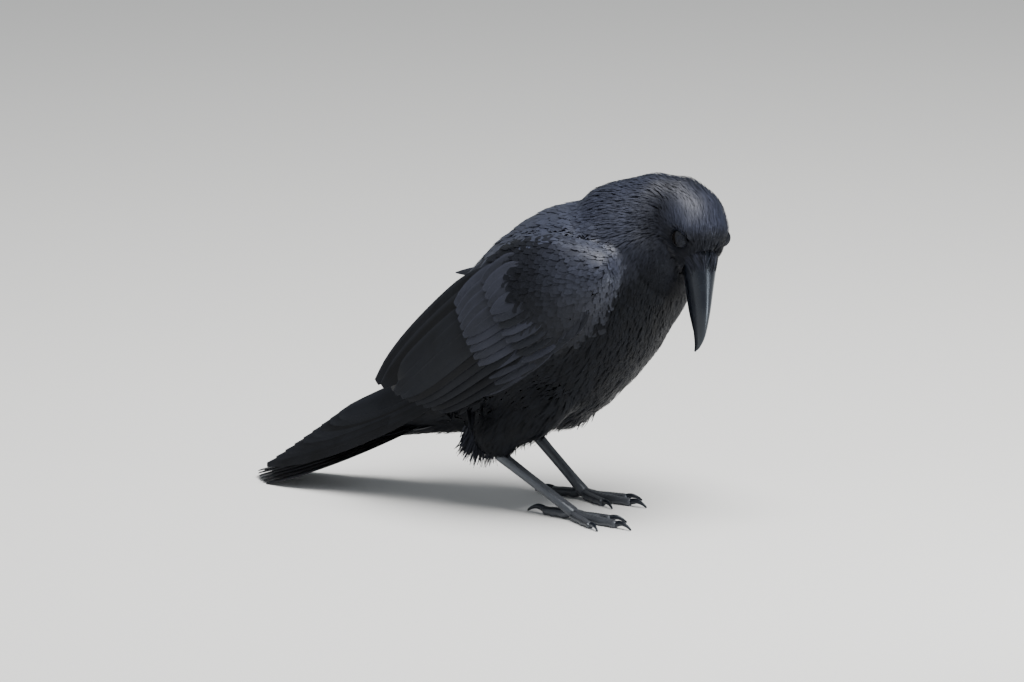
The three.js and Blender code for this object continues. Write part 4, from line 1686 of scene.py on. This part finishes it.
class CROW_OT_skin(bpy.types.Operator):
    """Builds the one skin that takes the place of the flesh"""

    bl_idname = "crow.skin"
    bl_label = "Skin"

    def execute(self, context):
        skin_piece()
        return {"FINISHED"}


class CROW_OT_coat(bpy.types.Operator):
    """Grows the plumage of the head, the neck, the body and the thighs"""

    bl_idname = "crow.coat"
    bl_label = "Coat"

    def execute(self, context):
        head_coat()
        body_coat()
        loose_coat()
        return {"FINISHED"}


class CROW_OT_wings(bpy.types.Operator):
    """Lays the flight feathers and the coverts of both folded wings"""

    bl_idname = "crow.wings"
    bl_label = "Wings"

    def execute(self, context):
        for name, side in SIDES:
            wing_pieces(name, side)
        return {"FINISHED"}


class CROW_OT_tail(bpy.types.Operator):
    """Lays the twelve tail feathers and their coverts"""

    bl_idname = "crow.tail"
    bl_label = "Tail"

    def execute(self, context):
        tail_feathers()
        tail_coverts()
        return {"FINISHED"}


class CROW_OT_bill(bpy.types.Operator):
    """Shapes the two halves of the bill and the bristles at its base"""

    bl_idname = "crow.bill"
    bl_label = "Bill"

    def execute(self, context):
        bill_pieces()
        return {"FINISHED"}


class CROW_OT_eyes(bpy.types.Operator):
    """Sets the eyes under their lids"""

    bl_idname = "crow.eyes"
    bl_label = "Eyes"

    def execute(self, context):
        eye_pieces()
        return {"FINISHED"}


class CROW_OT_legs(bpy.types.Operator):
    """Shapes the bare legs, the toes and the claws"""

    bl_idname = "crow.legs"
    bl_label = "Legs"

    def execute(self, context):
        leg_pieces()
        return {"FINISHED"}


class CROW_OT_studio(bpy.types.Operator):
    """Sets up the floor, the light and the camera"""

    bl_idname = "crow.studio"
    bl_label = "Studio"

    def execute(self, context):
        studio()
        return {"FINISHED"}


PIECES = (
    CROW_OT_skin,
    CROW_OT_coat,
    CROW_OT_wings,
    CROW_OT_tail,
    CROW_OT_bill,
    CROW_OT_eyes,
    CROW_OT_legs,
    CROW_OT_studio,
)


class CROW_PT_panel(bpy.types.Panel):
    """The crow's pieces, in the order in which they are built"""

    bl_idname = "CROW_PT_panel"
    bl_label = "Crow"
    bl_space_type = "VIEW_3D"
    bl_region_type = "UI"
    bl_category = "Crow"

    def draw(self, context):
        for piece in PIECES:
            self.layout.operator(piece.bl_idname)


CLASSES = (CrowSizes, CrowColours, *PIECES, CROW_PT_panel)


def register():
    for cls in CLASSES:
        bpy.utils.register_class(cls)
    bpy.types.Scene.crow_sizes = PointerProperty(type=CrowSizes)
    bpy.types.Scene.crow_colours = PointerProperty(type=CrowColours)


def unregister():
    del bpy.types.Scene.crow_colours
    del bpy.types.Scene.crow_sizes
    for cls in reversed(CLASSES):
        bpy.utils.unregister_class(cls)


def main():
    register()
    for piece in PIECES:
        group, name = piece.bl_idname.split(".")
        if getattr(getattr(bpy.ops, group), name)() != {"FINISHED"}:
            raise RuntimeError(f"{piece.bl_label} didn't finish")


if __name__ == "__main__":
    main()
